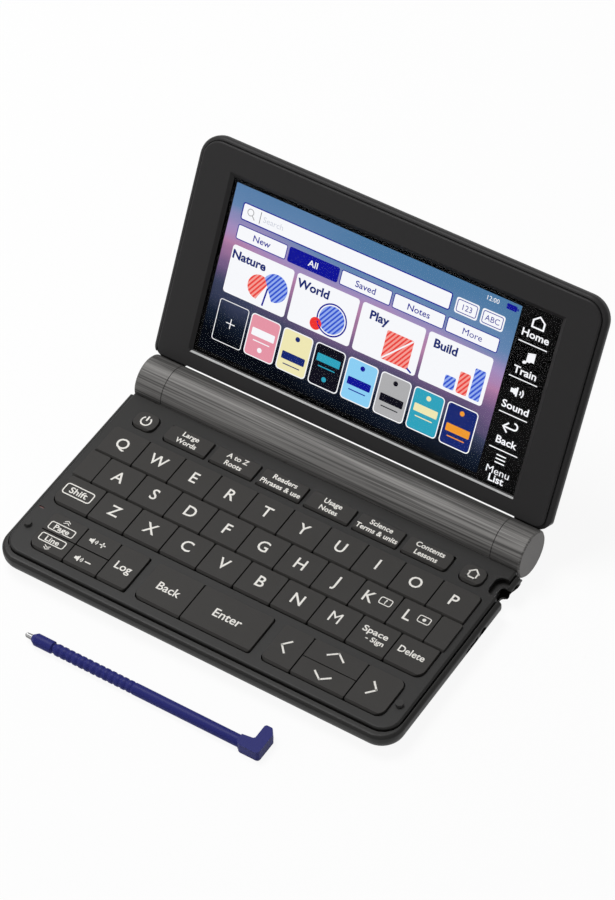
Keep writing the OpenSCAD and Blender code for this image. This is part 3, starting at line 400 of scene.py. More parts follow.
# ---- Modelling by hand, one step at a time ----
# Places and sizes are in millimetres. Y is measured from the hinge axis, until a piece is moved
# to the base or to the lid.

SHARP = 32                # degrees: an edge from here up is broken
CREASE = 35               # degrees: an edge up to here is shaded smooth on eased pieces


def only(piece=None):
    """Deselect everything, then take this piece as the one to work on."""
    if bpy.context.object and bpy.context.object.mode != "OBJECT":
        bpy.ops.object.mode_set(mode="OBJECT")
    bpy.ops.object.select_all(action="DESELECT")
    if piece:
        piece.select_set(True)
        bpy.context.view_layer.objects.active = piece


def edit(piece, kind):
    """Go into edit mode on a piece, with nothing selected on it."""
    only(piece)
    bpy.ops.object.mode_set(mode="EDIT")
    bpy.ops.mesh.select_mode(type=kind)
    bpy.ops.mesh.select_all(action="DESELECT")


def pick(piece, faces=None, edges=None, verts=None):
    """Select faces, edges or points by a test on them, and nothing else."""
    bpy.ops.object.mode_set(mode="OBJECT")
    mesh = piece.data
    for item in (*mesh.vertices, *mesh.edges, *mesh.polygons):
        item.select = False
    if faces:
        for p in mesh.polygons:
            p.select = bool(faces(p))
    if edges:
        for e in mesh.edges:
            a, b = (mesh.vertices[i].co for i in e.vertices)
            e.select = bool(edges(a, b))
    if verts:
        for v in mesh.vertices:
            v.select = bool(verts(v.co))
    bpy.ops.object.mode_set(mode="EDIT")


def settle():
    """Put the piece's place, turn and size into its mesh."""
    bpy.ops.object.transform_apply(location=True, rotation=True, scale=True)
    return bpy.context.object


def slab(x0, x1, y0, y1, z0, z1):
    """A block between these bounds, ready to be shaped."""
    only()
    bpy.ops.mesh.primitive_cube_add(size=1, location=((x0 + x1) / 2 * MM, (y0 + y1) / 2 * MM,
                                                      (z0 + z1) / 2 * MM))
    bpy.context.object.scale = ((x1 - x0) * MM, (y1 - y0) * MM, (z1 - z0) * MM)
    return settle()


def round_corner(piece, x, y, radius, steps):
    """Round the upright edge of a block that stands at (x, y)."""
    edit(piece, "EDGE")
    near = Vector((x * MM, y * MM))
    pick(piece, edges=lambda a, b: (a.xy - near).length < 1e-6 and (b.xy - near).length < 1e-6)
    bpy.ops.mesh.bevel(offset=radius * MM, segments=steps, affect="EDGES")
    only(piece)


def round_top(piece, z, radius):
    """Round every edge round the face at height z."""
    edit(piece, "FACE")
    pick(piece, faces=lambda p: p.normal.z > 0.99 and abs(p.center.z - z * MM) < 1e-6)
    bpy.ops.mesh.region_to_loop()
    bpy.ops.mesh.bevel(offset=radius * MM, segments=2, affect="EDGES")
    only(piece)


def rod(x, y, radius, z0, z1, sides=64):
    """An upright cylinder."""
    only()
    bpy.ops.mesh.primitive_cylinder_add(vertices=sides, radius=radius * MM, depth=(z1 - z0) * MM,
                                        location=(x * MM, y * MM, (z0 + z1) / 2 * MM))
    return settle()


def axle(x0, x1, radius, y=0, z=0, sides=96):
    """A cylinder along X, on the hinge's axis or through (y, z)."""
    only()
    bpy.ops.mesh.primitive_cylinder_add(vertices=sides, radius=radius * MM, depth=(x1 - x0) * MM,
                                        location=((x0 + x1) / 2 * MM, y * MM, z * MM),
                                        rotation=(0, math.radians(90), 0))
    return settle()


def carved(piece, tool):
    """Cut the tool's shape out of a piece."""
    cut = piece.modifiers.new("cut", "BOOLEAN")
    cut.object, cut.solver = tool, "EXACT"
    only(piece)
    bpy.ops.object.modifier_apply(modifier=cut.name)
    bpy.data.objects.remove(tool)
    return piece


def eased(piece, radius):
    """Break the sharp edges of a piece."""
    ease = piece.modifiers.new("soft_edges", "BEVEL")
    ease.width, ease.segments, ease.limit_method = radius * MM, 2, "ANGLE"
    ease.angle_limit = math.radians(SHARP)
    only(piece)
    bpy.ops.object.modifier_apply(modifier=ease.name)
    return piece


def hollowed(piece, wall, depth):
    """Sink the right-hand face of a piece, all but a wall round it."""
    edit(piece, "FACE")
    pick(piece, faces=lambda p: p.normal.x > 0.9)
    bpy.ops.mesh.inset(thickness=wall * MM)
    bpy.ops.mesh.extrude_region_move(TRANSFORM_OT_translate={"value": (-depth * MM, 0, 0)})
    return piece


def finish_piece(piece, name, body, slot, smooth=30, finish=None):
    """Shade a piece, name it, give it its finish and hand it to its body."""
    only(piece)
    bpy.ops.object.shade_smooth_by_angle(angle=math.radians(smooth))
    level = piece.modifiers.new("level_shading", "WEIGHTED_NORMAL")
    level.keep_sharp = True
    bpy.ops.object.modifier_apply(modifier=level.name)
    piece.name = piece.data.name = name
    wear(piece, finish or slot)
    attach(piece, body)


def to_base(piece):
    """Move a piece made round the hinge axis to the base's place."""
    only(piece)
    piece.location = (0, HINGE_Y * MM, 0)
    return settle()


def to_lid(piece):
    """Stand a piece made on the flat lid up with the lid."""
    only(piece)
    piece.rotation_euler = Euler((math.radians(LID_TILT), 0, 0))
    piece.location = (0, HINGE_Y * MM, HINGE_Z * MM)
    return settle()


def joined(pieces, name):
    """Make one piece of several."""
    only(pieces[0])
    for piece in pieces:
        piece.select_set(True)
    if len(pieces) > 1:
        bpy.ops.object.join()
    bpy.context.object.name = name
    return bpy.context.object


def softened(node, name, radius, cuts=()):
    """A copy of a CAD piece, cut further and with its edges broken, which then stands for it."""
    source = nodes[node]
    only()
    piece = bpy.data.objects.new(name, source.data.copy())
    bpy.context.scene.collection.objects.link(piece)
    edit(piece, "VERT")
    bpy.ops.mesh.select_all(action="SELECT")
    bpy.ops.mesh.remove_doubles(threshold=1e-6)
    bpy.ops.mesh.customdata_custom_splitnormals_clear()
    bpy.ops.mesh.dissolve_limited(angle_limit=math.radians(0.6))
    only(piece)
    for tool in cuts:
        carved(piece, tool)
    if radius:
        eased(piece, radius)
    finish_piece(piece, name, source["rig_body"], slots[node], CREASE)
    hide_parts(node)
    return piece


# ---- Flat marks: legends, icons and what the display shows ----

CAPITAL = 0.70            # height of a capital, as a share of the font's size


def lettering(words, x, y, size, stretch=1.0, weight=0.0):
    """A flat word with its capitals size high, its middle at (x, y)."""
    only()
    bpy.ops.object.text_add()
    text = bpy.context.object
    text.data.body = words
    text.data.size = size / CAPITAL * MM
    # an M keeps its weight, because its thick strokes would cross
    text.data.offset = 0 if "M" in words else weight * MM
    text.data.align_x = "CENTER"
    text.data.resolution_u = 3
    bpy.ops.object.convert(target="MESH")
    text = bpy.context.object
    text.scale = (stretch, 1, 1)
    text.location = (x * MM, (y - size / 2) * MM, 0)
    return settle()


def bar(x0, y0, x1, y1, width):
    """A flat stroke from one point to another."""
    only()
    dx, dy = x1 - x0, y1 - y0
    bpy.ops.mesh.primitive_plane_add(size=1, location=((x0 + x1) / 2 * MM, (y0 + y1) / 2 * MM, 0),
                                     rotation=(0, 0, math.atan2(dy, dx)))
    bpy.context.object.scale = (math.hypot(dx, dy) * MM, width * MM, 1)
    return settle()


def plate(x0, y0, x1, y1, radius):
    """A flat rounded rectangle."""
    only()
    bpy.ops.mesh.primitive_plane_add(size=1, location=((x0 + x1) / 2 * MM, (y0 + y1) / 2 * MM, 0))
    bpy.context.object.scale = ((x1 - x0) * MM, (y1 - y0) * MM, 1)
    piece = settle()
    if radius:
        edit(piece, "VERT")
        bpy.ops.mesh.select_all(action="SELECT")
        bpy.ops.mesh.bevel(offset=radius * MM, segments=4, affect="VERTICES")
        only(piece)
    return piece


def outline(piece, line):
    """Leave only a line round the edge of a flat piece."""
    edit(piece, "FACE")
    bpy.ops.mesh.select_all(action="SELECT")
    bpy.ops.mesh.inset(thickness=line * MM)
    bpy.ops.mesh.delete(type="FACE")
    only(piece)
    return piece


def disc(x, y, radius, sides=28):
    """A flat round mark."""
    only()
    bpy.ops.mesh.primitive_circle_add(vertices=sides, radius=radius * MM, fill_type="NGON",
                                      location=(x * MM, y * MM, 0))
    return settle()


def clipped(piece, x, y, nx, ny):
    """Cut a flat piece along the line through (x, y) and keep the side away from (nx, ny)."""
    edit(piece, "FACE")
    bpy.ops.mesh.select_all(action="SELECT")
    bpy.ops.mesh.bisect(plane_co=(x * MM, y * MM, 0), plane_no=(nx, ny, 0), clear_outer=True)
    only(piece)
    return piece


def lifted(piece, z, depth):
    """Give a flat piece its thickness, with its face at height z."""
    edit(piece, "FACE")
    bpy.ops.mesh.select_all(action="SELECT")
    bpy.ops.mesh.remove_doubles(threshold=1e-8)
    bpy.ops.mesh.normals_make_consistent(inside=False)
    bpy.ops.mesh.extrude_region_move(TRANSFORM_OT_translate={"value": (0, 0, -depth * MM)})
    bpy.ops.mesh.select_all(action="SELECT")
    bpy.ops.mesh.normals_make_consistent(inside=False)
    only(piece)
    piece.location = (0, 0, z * MM)
    return settle()


MEET = 0.28               # how far an arrow head's strokes run past its tip, of their width


def chevron(x, y, width, height, line, turn):
    """An arrow head that points up, turned by quarter turns to the left."""
    arms = []
    for side in (-1, 1):
        ends = [(side * width / 2, -height / 2), (0, height / 2)]
        for _ in range(turn):
            ends = [(-b, a) for a, b in ends]
        (ax, ay), (bx, by) = ends
        reach = line * MEET / math.hypot(bx - ax, by - ay)
        arms.append(bar(x + ax, y + ay, x + bx + (bx - ax) * reach, y + by + (by - ay) * reach,
                        line))
    return arms


# ---- The keyboard ----

def key_shape(name):
    """A key's left, right, front and back."""
    low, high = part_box(name)
    return (low.x / MM, high.x / MM, low.y / MM - HINGE_Y, high.y / MM - HINGE_Y)


CORNERS = {  # front left, front right, back right, back left
    "key_q": (0.6, 0.6, 0.6, 1.5), "key_p": (0.6, 0.6, 1.5, 0.6),
    "key_shift": (3, 0.6, 0.6, 0.6), "key_delete": (0.6, 3, 0.6, 0.6),
    "key_page": (3, 0.6, 0.6, 1.6), "key_history": (0.6, 1.5, 1, 0.6),
    "key_back": (2.5, 0.6, 0.6, 1), "key_enter": (0.6, 1, 1, 0.6),
    "key_left": (2, 0.6, 0.6, 1), "key_right": (0.6, 3, 2.5, 0.6),
    "key_power": (2.5, 2.5, 2.5, 2.5), "key_home": (2.5, 2.5, 2.5, 2.5),
    "key_mode_1": (1.6, 0.6, 0.6, 1.6), "key_mode_6": (0.6, 1.6, 1.6, 0.6),
}
PLAIN = (0.6, 0.6, 0.6, 0.6)
GROOVES = {"key_page": 0.2, "key_volume": 0.2, "key_up_down": 0.125}   # half their width
GROOVE_DEPTH = 0.9
SLOPE_RUN, SLOPE_DROP = 0.7, 0.75      # the slope along a cap's front edge
CAP_DEPTH = 1.9           # height of a cap over its stem
CAP_EASE = 0.13           # how far a cap's edges are broken
STEM = 1.3                # half the thickness of a key's stem
KEY_SIZE = 5e-6           # square metres: the underside of a cap is larger than this


def rounded_block(x0, x1, y0, y1, z0, z1, corners):
    """A block with its upright edges rounded: front left, front right, back right, back left."""
    block = slab(x0, x1, y0, y1, z0, z1)
    for (x, y), radius in zip(((x0, y0), (x1, y0), (x1, y1), (x0, y1)), corners):
        round_corner(block, x, y, radius, 5 if radius > 1 else 3)
    return block


def cap_block(x0, x1, y0, y1, z0, z1, corners):
    """A block with rounded corners and a slope along its front edge."""
    cap = rounded_block(x0, x1, y0, y1, z0, z1, corners)
    edit(cap, "FACE")
    bpy.ops.mesh.select_all(action="SELECT")
    bpy.ops.mesh.bisect(plane_co=(0, (y0 + SLOPE_RUN) * MM, z1 * MM),
                        plane_no=(0, -SLOPE_DROP, SLOPE_RUN), use_fill=True, clear_outer=True)
    only(cap)
    return cap


def key_cap(name):
    """A key: block, rounded corners, sloping front, softened top, and its stem drawn down."""
    x0, x1, y0, y1 = key_shape(name)
    under = KEY_TOP - CAP_DEPTH
    cap = cap_block(x0, x1, y0, y1, under, KEY_TOP, CORNERS.get(name, PLAIN))
    if name in GROOVES:
        middle, half = (y0 + y1) / 2, GROOVES[name]
        carved(cap, slab(x0 - 1, x1 + 1, middle - half, middle + half, KEY_TOP - GROOVE_DEPTH,
                         KEY_TOP + 1))
    eased(cap, CAP_EASE)
    # the stem goes down through the lattice and ends in its flange
    low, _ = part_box(name)
    edit(cap, "FACE")
    pick(cap, faces=lambda p: p.normal.z < -0.9 and p.center.z < (under + 0.05) * MM
         and p.area > KEY_SIZE)
    bpy.ops.mesh.inset(thickness=(min(x1 - x0, y1 - y0) / 2 - STEM) * MM)
    bpy.ops.mesh.extrude_region_move(TRANSFORM_OT_translate={"value": (0, 0, low.z - under * MM)})
    return to_base(cap)


def legend(key, marks):
    """Print a key: its marks are drawn round the middle of its top."""
    x0, x1, y0, y1 = key_shape(key)
    x, y = (x0 + x1) / 2, (y0 + y1) / 2
    drawn = []
    for kind, *rest in marks:
        if kind == "word":
            words, dx, dy, size, stretch = rest
            drawn.append(lettering(words, x + dx, y + dy, size, stretch, 0.06))
        elif kind == "frame":
            dx, dy, width, height, radius, line = rest
            drawn.append(outline(plate(x + dx - width / 2, y + dy - height / 2, x + dx + width / 2,
                                       y + dy + height / 2, radius), line))
        elif kind == "bar":
            ax, ay, bx, by, line = rest
            drawn.append(bar(x + ax, y + ay, x + bx, y + by, line))
        elif kind == "head":
            dx, dy, width, height, line, turn = rest
            drawn += chevron(x + dx, y + dy, width, height, line, turn)
        elif kind == "dot":
            dx, dy, radius = rest
            drawn.append(disc(x + dx, y + dy, radius, 16))
    piece = to_base(lifted(joined(drawn, "legend"), KEY_TOP + INK, 2 * INK))
    finish_piece(piece, key.replace("key_", "legend_"), key, "keys", finish="ink")


def speaker(x, y, loud):
    """A small loudspeaker with two waves and a plus or a minus, drawn with strokes."""
    horn = [("bar", x - 1.7, y, x - 0.9, y, 1.0), ("bar", x - 0.9, y, x - 0.45, y, 1.5),
            ("bar", x - 0.45, y, x - 0.05, y, 2.2)]
    waves = []
    for radius in (0.55, 1.15):
        for start in (-45, -15, 15):
            a, b = math.radians(start), math.radians(start + 30)
            waves.append(("bar", x + 0.1 + radius * math.cos(a), y + radius * math.sin(a),
                          x + 0.1 + radius * math.cos(b), y + radius * math.sin(b), 0.32))
    sign = [("bar", x + 2.1, y, x + 4.3, y, 0.42)]
    if loud:
        sign.append(("bar", x + 3.2, y - 1.1, x + 3.2, y + 1.1, 0.42))
    return horn + waves + sign


def house(x, y, size, line):
    """A plain house: two roof strokes, two walls and a floor."""
    h = size / 2
    wall, eaves, foot = 0.75 * h, y + 0.1 * h, y - h + line / 2
    return [("bar", x - h, eaves, x, y + h, line), ("bar", x + h, eaves, x, y + h, line),
            ("bar", x - wall, y + 0.25 * h, x - wall, y - h, line),
            ("bar", x + wall, y + 0.25 * h, x + wall, y - h, line),
            ("bar", x - wall - line / 2, foot, x + wall + line / 2, foot, line)]


def keyboard():
    """The keys, in place of the CAD's, and their printing."""
    for name in sorted(n for n in nodes if n.startswith("key_")):
        cap = key_cap(name)
        finish_piece(cap, name.replace("key_", "cap_"), name, "keys", CREASE)
        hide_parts(name)
    for letter in "QWERTYUIOPASDFGHJZXCVBNM":
        legend("key_" + letter.lower(), [("word", letter, -0.3, 0.5, 4.15, 0.98)])
    legend("key_k", [("word", "K", -2.9, 0.55, 4.15, 0.98),
                     ("frame", 2.8, 1.35, 4.4, 2.9, 0.8, 0.32), ("word", "?", 2.8, 1.35, 1.7, 1)])
    legend("key_l", [("word", "L", -2.5, 0.55, 4.15, 0.98),
                     ("frame", 2.95, 1.35, 4.4, 2.9, 0.8, 0.32), ("dot", 2.95, 1.35, 0.62)])
    legend("key_shift", [("word", "Shift", -0.6, 0.65, 2.3, 1.12),
                         ("frame", -0.6, 0.6, 10.7, 4.6, 1.1, 0.42)])
    legend("key_space", [("word", "Space", -0.2, 1.85, 2.2, 1.25),
                         ("word", "- Sign", 1.2, -1.05, 1.8, 1.15)])
    legend("key_delete", [("word", "Delete", -0.4, 0.7, 2.45, 0.98)])
    legend("key_history", [("word", "Log", 0.0, 0.1, 2.9, 1.0)])
    legend("key_back", [("word", "Back", -0.2, 0.0, 3.0, 1.0)])
    legend("key_enter", [("word", "Enter", 0.0, 0.2, 3.1, 1.05)])
    pages = []
    for s, turn in ((-1, 2), (1, 0)):
        pages += [("frame", -0.4, s * 2.55, 9.5, 3.3, 0.8, 0.36),
                  ("head", -0.4, s * 5.3, 2.1, 0.7, 0.3, turn),
                  ("head", -0.4, s * 6.1, 2.1, 0.7, 0.3, turn)]
    legend("key_page", pages + [("word", "Page", -0.4, 2.55, 1.9, 1.15),
                                ("word", "Line", -0.4, -2.55, 1.9, 1.15)])
    legend("key_volume", speaker(-1.9, 3.9, True) + speaker(-1.9, -4.2, False))
    legend("key_left", [("head", -0.9, 0.15, 5.2, 2.4, 0.62, 1)])
    legend("key_right", [("head", -0.9, 0.15, 5.2, 2.4, 0.62, 3)])
    legend("key_up_down", [("head", -0.3, 4.9, 6.1, 2.3, 0.6, 0),
                           ("head", -0.3, -4.1, 6.1, 2.3, 0.6, 2)])
    legend("key_power", [("word", "⏻", 0, -0.1, 3.4, 0.95)])
    legend("key_home", house(0, 0.3, 3.7, 0.5))
    modes = (("Large", "Words"), ("A to Z", "Roots"), ("Readers", "Phrases & use"),
             ("Usage", "Notes"), ("Science", "Terms & units"), ("Contents", "Lessons"))
    for number, (top, low) in enumerate(modes, 1):
        legend(f"key_mode_{number}", [("word", top, 0, 1.75, 1.85, 1.05),
                                      ("word", low, 0, -1.25, 1.85, 1.0)])


# ---- The display ----
# Its marks are drawn on the flat lid: millimetres to the right of the middle, and up from the
# hinge axis.

LEVELS = [LCD_FRONT + rise for rise in (0.012, 0.020, 0.028, 0.036, 0.044)]   # one over another
LEFT = -54.8              # where each row starts
TAB_PITCH, TILE_PITCH, BOOK_PITCH = 19.4, 24.3, 12.15
BOOK_LOW, BOOK_HIGH, BOOK_WIDE = 20.3, 34.6, 11.1
STRIP = 52.3              # middle of the strip of touch marks beside the picture


def on_screen(piece, z, finish):
    """Give a flat mark its finish, and its place among the display's levels."""
    wear(piece, finish)
    return lifted(piece, z, SCREEN_INK)


def tile_motif(number, x, y):
    """A plain motif for each tile: sprout, globe, kite and stacked blocks."""
    top, over = LEVELS[3:]
    if number == 0:
        leaves = [clipped(disc(x - 3.2, y + 0.2, 4.1), x - 1.4, y, 1, -0.5),
                  clipped(disc(x + 2.4, y + 2.0, 4.7), x + 0.6, y, -1, -0.6)]
        return [on_screen(leaves[0], top, "red_lines"), on_screen(leaves[1], top, "blue_lines"),
                on_screen(bar(x - 0.6, y - 5.2, x, y + 1.0, 0.6), over, "royal")]
    if number == 1:
        ring = outline(disc(x, y, 5.5, 40), 0.5)
        return [on_screen(disc(x, y, 4.6, 40), top, "blue_lines"),
                on_screen(ring, over, "royal"),
                on_screen(disc(x - 5.2, y - 3.2, 2.1), over, "red")]
    if number == 2:
        return [on_screen(plate(x - 4.9, y - 4.9, x + 4.9, y + 4.9, 0.6), top, "red_lines"),
                on_screen(bar(x - 4.6, y - 4.6, x + 4.6, y + 4.6, 0.5), over, "white"),
                on_screen(bar(x + 4.6, y - 4.4, x + 6.4, y - 5.4, 0.6), over, "royal")]
    blocks = [plate(x - 6.4 + 4.6 * i, y - 5.0, x - 2.6 + 4.6 * i, y - 0.8 + 3.0 * i, 0.5)
              for i in range(3)]
    lines = ("blue_lines", "red_lines", "blue_lines")
    return [on_screen(block, top, finish) for block, finish in zip(blocks, lines)]


def display():
    """What the display shows, its lit ground and its black border."""
    base, plain, mark, top, over = LEVELS
    show = []

    def add(piece, z, finish):
        show.append(on_screen(piece, z, finish))

    # search field with its lens, a caret and two buttons
    add(plate(LEFT, 62.0, 22.5, 68.0, 0.9), plain, "white")
    add(outline(plate(LEFT, 62.0, 22.5, 68.0, 0.9), 0.4), mark, "royal")
    add(outline(disc(-51.6, 65.4, 1.25), 0.3), mark, "grey")
    add(bar(-50.8, 64.5, -49.8, 63.4, 0.34), mark, "grey")
    add(bar(-47.9, 63.0, -47.9, 67.0, 0.2), mark, "night")
    add(lettering("Search", -43.0, 65.0, 1.9, 1.05), mark, "dim")
    for x in (24.0, 33.2):
        add(plate(x, 62.4, x + 8.2, 67.6, 0.8), plain, "white")
        add(outline(plate(x + 0.5, 62.9, x + 7.7, 67.1, 0.7), 0.26), mark, "royal")
    add(lettering("123", 28.1, 65.0, 1.9), mark, "royal")
    add(lettering("ABC", 37.3, 65.0, 1.9), mark, "royal")
    # row of tabs under it
    for i in range(5):
        x = LEFT + TAB_PITCH * i
        add(plate(x, 55.3, x + 18.7, 60.4, 0.7), plain, "royal" if i == 1 else "white")
        add(outline(plate(x, 55.3, x + 18.7, 60.4, 0.7), 0.3), mark, "royal")
    for i, words in enumerate(("New", "All", "Saved", "Notes", "More")):
        add(lettering(words, LEFT + 9.3 + TAB_PITCH * i, 57.85, 2.1, 1.1, 0.03), mark,
            "white" if i == 1 else "royal")
    # four tiles
    for i, words in enumerate(("Nature", "World", "Play", "Build")):
        x = LEFT + TILE_PITCH * i
        add(plate(x, 37.0, x + 23.1, 53.4, 1.0), plain, "white")
        add(lettering(words, x + 6.6, 50.4, 2.8, 1.08, 0.13), over, "navy")
        show.extend(tile_motif(i, x + 15.3, 43.0))
    # an empty slot and seven plain books
    middle = BOOK_WIDE / 2
    add(outline(plate(LEFT, BOOK_LOW, LEFT + BOOK_WIDE, BOOK_HIGH, 0.9), 0.24), mark, "white")
    add(bar(LEFT + 3.9, 27.5, LEFT + 7.2, 27.5, 0.3), mark, "white")
    add(bar(LEFT + middle, 25.8, LEFT + middle, 29.2, 0.3), mark, "white")
    books = (("rose", "white", 0.5), ("paper", "navy", 0.24), ("night", "teal", 0.6),
             ("sky", "royal", 0.35), ("grey", "night", 0.3), ("teal", "paper", 0.44),
             ("navy", "amber", 0.3))
    for i, (cover, band, share) in enumerate(books, 1):
        x = LEFT + BOOK_PITCH * i
        add(plate(x, BOOK_LOW, x + BOOK_WIDE, BOOK_HIGH, 1.3), plain, "white")
        add(plate(x + 0.35, BOOK_LOW + 0.35, x + BOOK_WIDE - 0.35, BOOK_HIGH - 0.35, 1.05), mark,
            cover)
        y = 21.4 + 12 * share
        add(plate(x + 1.3, y, x + 9.8, y + 2.6, 0.3), top, band)
        add(bar(x + 2.4, y - 1.5, x + 8.6, y - 1.5, 0.35), top, band)
        add(disc(x + middle, 32.2 if share < 0.5 else 23.3, 0.85, 16), top, band)
    # the status line
    add(plate(40.6, 70.4, 44.2, 72.2, 0.3), plain, "royal")
    add(bar(44.3, 71.3, 44.8, 71.3, 0.8), plain, "royal")
    add(lettering("12:00", 35.6, 71.3, 1.5, 1.0), plain, "white")
    # strip of touch marks, with dividing lines
    for v in (62.6, 50.7, 38.5, 26.4):
        add(bar(47.2, v, 57.3, v, 0.34), plain, "white")
    signs = [("⌂", 70.2, 4.2, 1.2), ("♫", 58.4, 4.4, 1.1), ("↩", 34.4, 3.9, 1.0)]
    for sign, v, size, stretch in signs:
        add(lettering(sign, STRIP, v, size, stretch, 0.05), plain, "white")
    # a key's loudspeaker without its minus, enlarged
    v, grow = 46.4, 1.5
    for _, ax, ay, bx, by, line in speaker(STRIP - 0.4, v, False)[:-1]:
        add(bar(STRIP + (ax - STRIP) * grow, v + (ay - v) * grow, STRIP + (bx - STRIP) * grow,
                v + (by - v) * grow, line * 1.4), plain, "white")
    for i in range(3):
        v = 24.6 - 1.25 * i
        add(bar(STRIP - 1.9, v, STRIP + 1.5, v, 0.42), plain, "white")
    for words, v in (("Home", 66.1), ("Train", 53.7), ("Sound", 41.7), ("Back", 29.9),
                     ("Menu", 19.6), ("List", 17.0)):
        add(lettering(words, STRIP, v - 0.3, 2.4, 1.12, 0.07), plain, "white")
    screen = to_lid(joined(show, "display_marks"))
    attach(screen, "lid")
    # the picture's ground, and the black border round it
    ground = on_screen(plate(-58.7, 15.9, 45.6, 73.1, 0), base, "dusk")
    finish_piece(to_lid(ground), "display_ground", "lid", "display", finish="dusk")
    mask = on_screen(plate(-60.3, 14.0, 60.3, 75.2, 0.3), LCD_FRONT + 0.005, "display")
    finish_piece(to_lid(mask), "display_mask", "lid", "display")


# ---- Housing ----

KEY_FIT = 0.31            # room round a block of keys
TRAY = 6.56               # how low the openings' corners are cut, just over the trays' floor
LID_END, LID_FOOT, LID_CORNER = 74, 7.1, 5          # the lid's side, lower edge and corner
FRAME_END, FRAME_FOOT, FRAME_CORNER = 72.2, 8.6, 3  # the same of the display's frame
BARREL = 8.01             # the barrel's radius, and a little air
BARREL_FACE = 71.8        # the turning ends' outer faces lie beyond this
BEVEL = 1.59              # width of the bevel round the display


def opening(first, last, corners):
    """The room round a block of keys, from its front left key to its back right key."""
    x0, _, y0, _ = key_shape(first)
    _, x1, _, y1 = key_shape(last)
    return to_base(rounded_block(x0 - KEY_FIT, x1 + KEY_FIT, y0 - KEY_FIT, y1 + KEY_FIT, TRAY,
                                 KEY_TOP, corners))


def plate_cuts():
    """Rounds the corners of the openings round the keys."""
    cuts = [opening("key_shift", "key_p", (3, 3, 1.5, 1.5)),
            opening("key_page", "key_history", (3, 1.5, 1, 1.6)),
            opening("key_back", "key_enter", (2.5, 1, 1, 1)),
            opening("key_left", "key_right", (2, 3, 2.5, 1))]
    return cuts + [opening(f"key_mode_{i}", f"key_mode_{i}", CORNERS.get(f"key_mode_{i}", PLAIN))
                   for i in range(1, 7)]


def foot_corner(x, v, radius, n0, n1):
    """What rounds off the lid's lower corner at (x, v), from n0 to n1: a block less a cylinder."""
    inner = x - math.copysign(radius, x)
    x0, x1 = sorted((inner, x + math.copysign(1, x)))
    block = slab(x0, x1, v - 1, v + radius, n0, n1)
    return to_lid(carved(block, rod(inner, v + radius, radius, n0 - 1, n1 + 1)))


def both(x0, x1):
    """The same span on the right and on the left."""
    return (x0, x1), (-x1, -x0)


def shell_cuts():
    """Rounds the lid's lower corners and takes its foot off beside the hinge's tongues."""
    cuts = [foot_corner(x, LID_FOOT, LID_CORNER, -10, 0) for x in (-LID_END, LID_END)]
    for x0, x1 in both(61.7, 64.2) + both(69.4, 75):
        cuts.append(to_lid(slab(x0, x1, 0, 7.09, -9, 0)))
    return cuts


def cap_cuts():
    """Narrows the tongues of the turning ends to what the lid's foot leaves free."""
    return [to_lid(carved(slab(x0, x1, 1, 21, -9, -1), axle(x0 - 1, x1 + 1, BARREL)))
            for x0, x1 in both(61.75, 64.25) + both(69.35, 72.5)]


def frame_cuts():
    """Rounds the lower corners of the display's frame and opens its bevel."""
    bevel = slab(-59.8, 59.8, 14.45, 74.7, -2.51, -1.4)
    # its front points are spread to the left, to the right and upwards
    edit(bevel, "VERT")
    for beyond, move in ((lambda c: c.x > 0, (BEVEL, 0, 0)), (lambda c: c.x < 0, (-BEVEL, 0, 0)),
                         (lambda c: c.y > 40 * MM, (0, BEVEL, 0))):
        pick(bevel, verts=lambda c: c.z > -2 * MM and beyond(c))
        bpy.ops.transform.translate(value=Vector(move) * MM)
    only(bevel)
    return [to_lid(bevel)] + [foot_corner(x, FRAME_FOOT, FRAME_CORNER, -4, 0)
                              for x in (-FRAME_END, FRAME_END)]


def tub_cuts():
    """Widens the gap for a fingernail and sets the wall beside the barrel's end forward."""
    return [to_base(rounded_block(69.8, 76, -20.35, -14.4, -1, 10.5, (1, 0.3, 0.3, 1))),
            to_base(slab(72.05, 77.05, -9, -1, -0.4, 9.1))]


def housing():
    """The CAD's larger pieces, cut further and eased, and the hidden ones as they are."""
    softened("lower_case", "tub", 0.12, cuts=tub_cuts())
    softened("top_case", "keyboard_plate", 0.12, cuts=plate_cuts())
    softened("lid_back", "lid_shell", 0.15, cuts=shell_cuts())
    softened("lid_bezel", "display_frame", 0.1, cuts=frame_cuts())
    softened("centre_barrel", "barrel_middle", 0.12)
    ends = softened("hinge_caps", "barrel_ends", 0.25, cuts=cap_cuts())
    ends.data.materials.append(finishes["barrel_face"].material)
    pick(ends, faces=lambda p: abs(p.center.x) > BARREL_FACE * MM and abs(p.normal.x) > 0.9)
    ends.active_material_index = 1
    bpy.ops.object.material_slot_assign()
    only(ends)
    softened("battery_cover", "barrel_cover", 0.15)
    softened("stylus_body", "pen", 0.12)
    softened("stylus_tip", "pen_point", 0)
    softened("rubber_pads", "feet", 0.12)
    for name in ("battery_cells", "main_board", "lcd_module", "hinge_pins", "touch_glass"):
        wear(nodes[name], slots[name])


HEAD_LOW, HEAD_HIGH, HEAD_RADIUS = 0.78, 1.48, 1.65   # a screw's head, over the desk
CROSS = (2.0, 0.36, 0.62)                             # one of the two bars of its cross slot


def screw(x, y, number):
    """A small pan-head screw in its recess under the base, with a cross slot."""
    head = rod(x, y, HEAD_RADIUS, HEAD_LOW, HEAD_HIGH, 28)
    edit(head, "EDGE")
    pick(head, edges=lambda a, b: max(a.z, b.z) < (HEAD_LOW + 0.02) * MM)
    bpy.ops.mesh.bevel(offset=0.28 * MM, segments=3, affect="EDGES")
    for turn in (0, 90):
        only()
        bpy.ops.mesh.primitive_cube_add(size=1, location=(x * MM, y * MM, HEAD_LOW * MM),
                                        rotation=(0, 0, math.radians(turn)))
        bpy.context.object.scale = Vector(CROSS) * MM
        carved(head, settle())
    finish_piece(to_base(head), f"screw_{number}", "base", "steel")


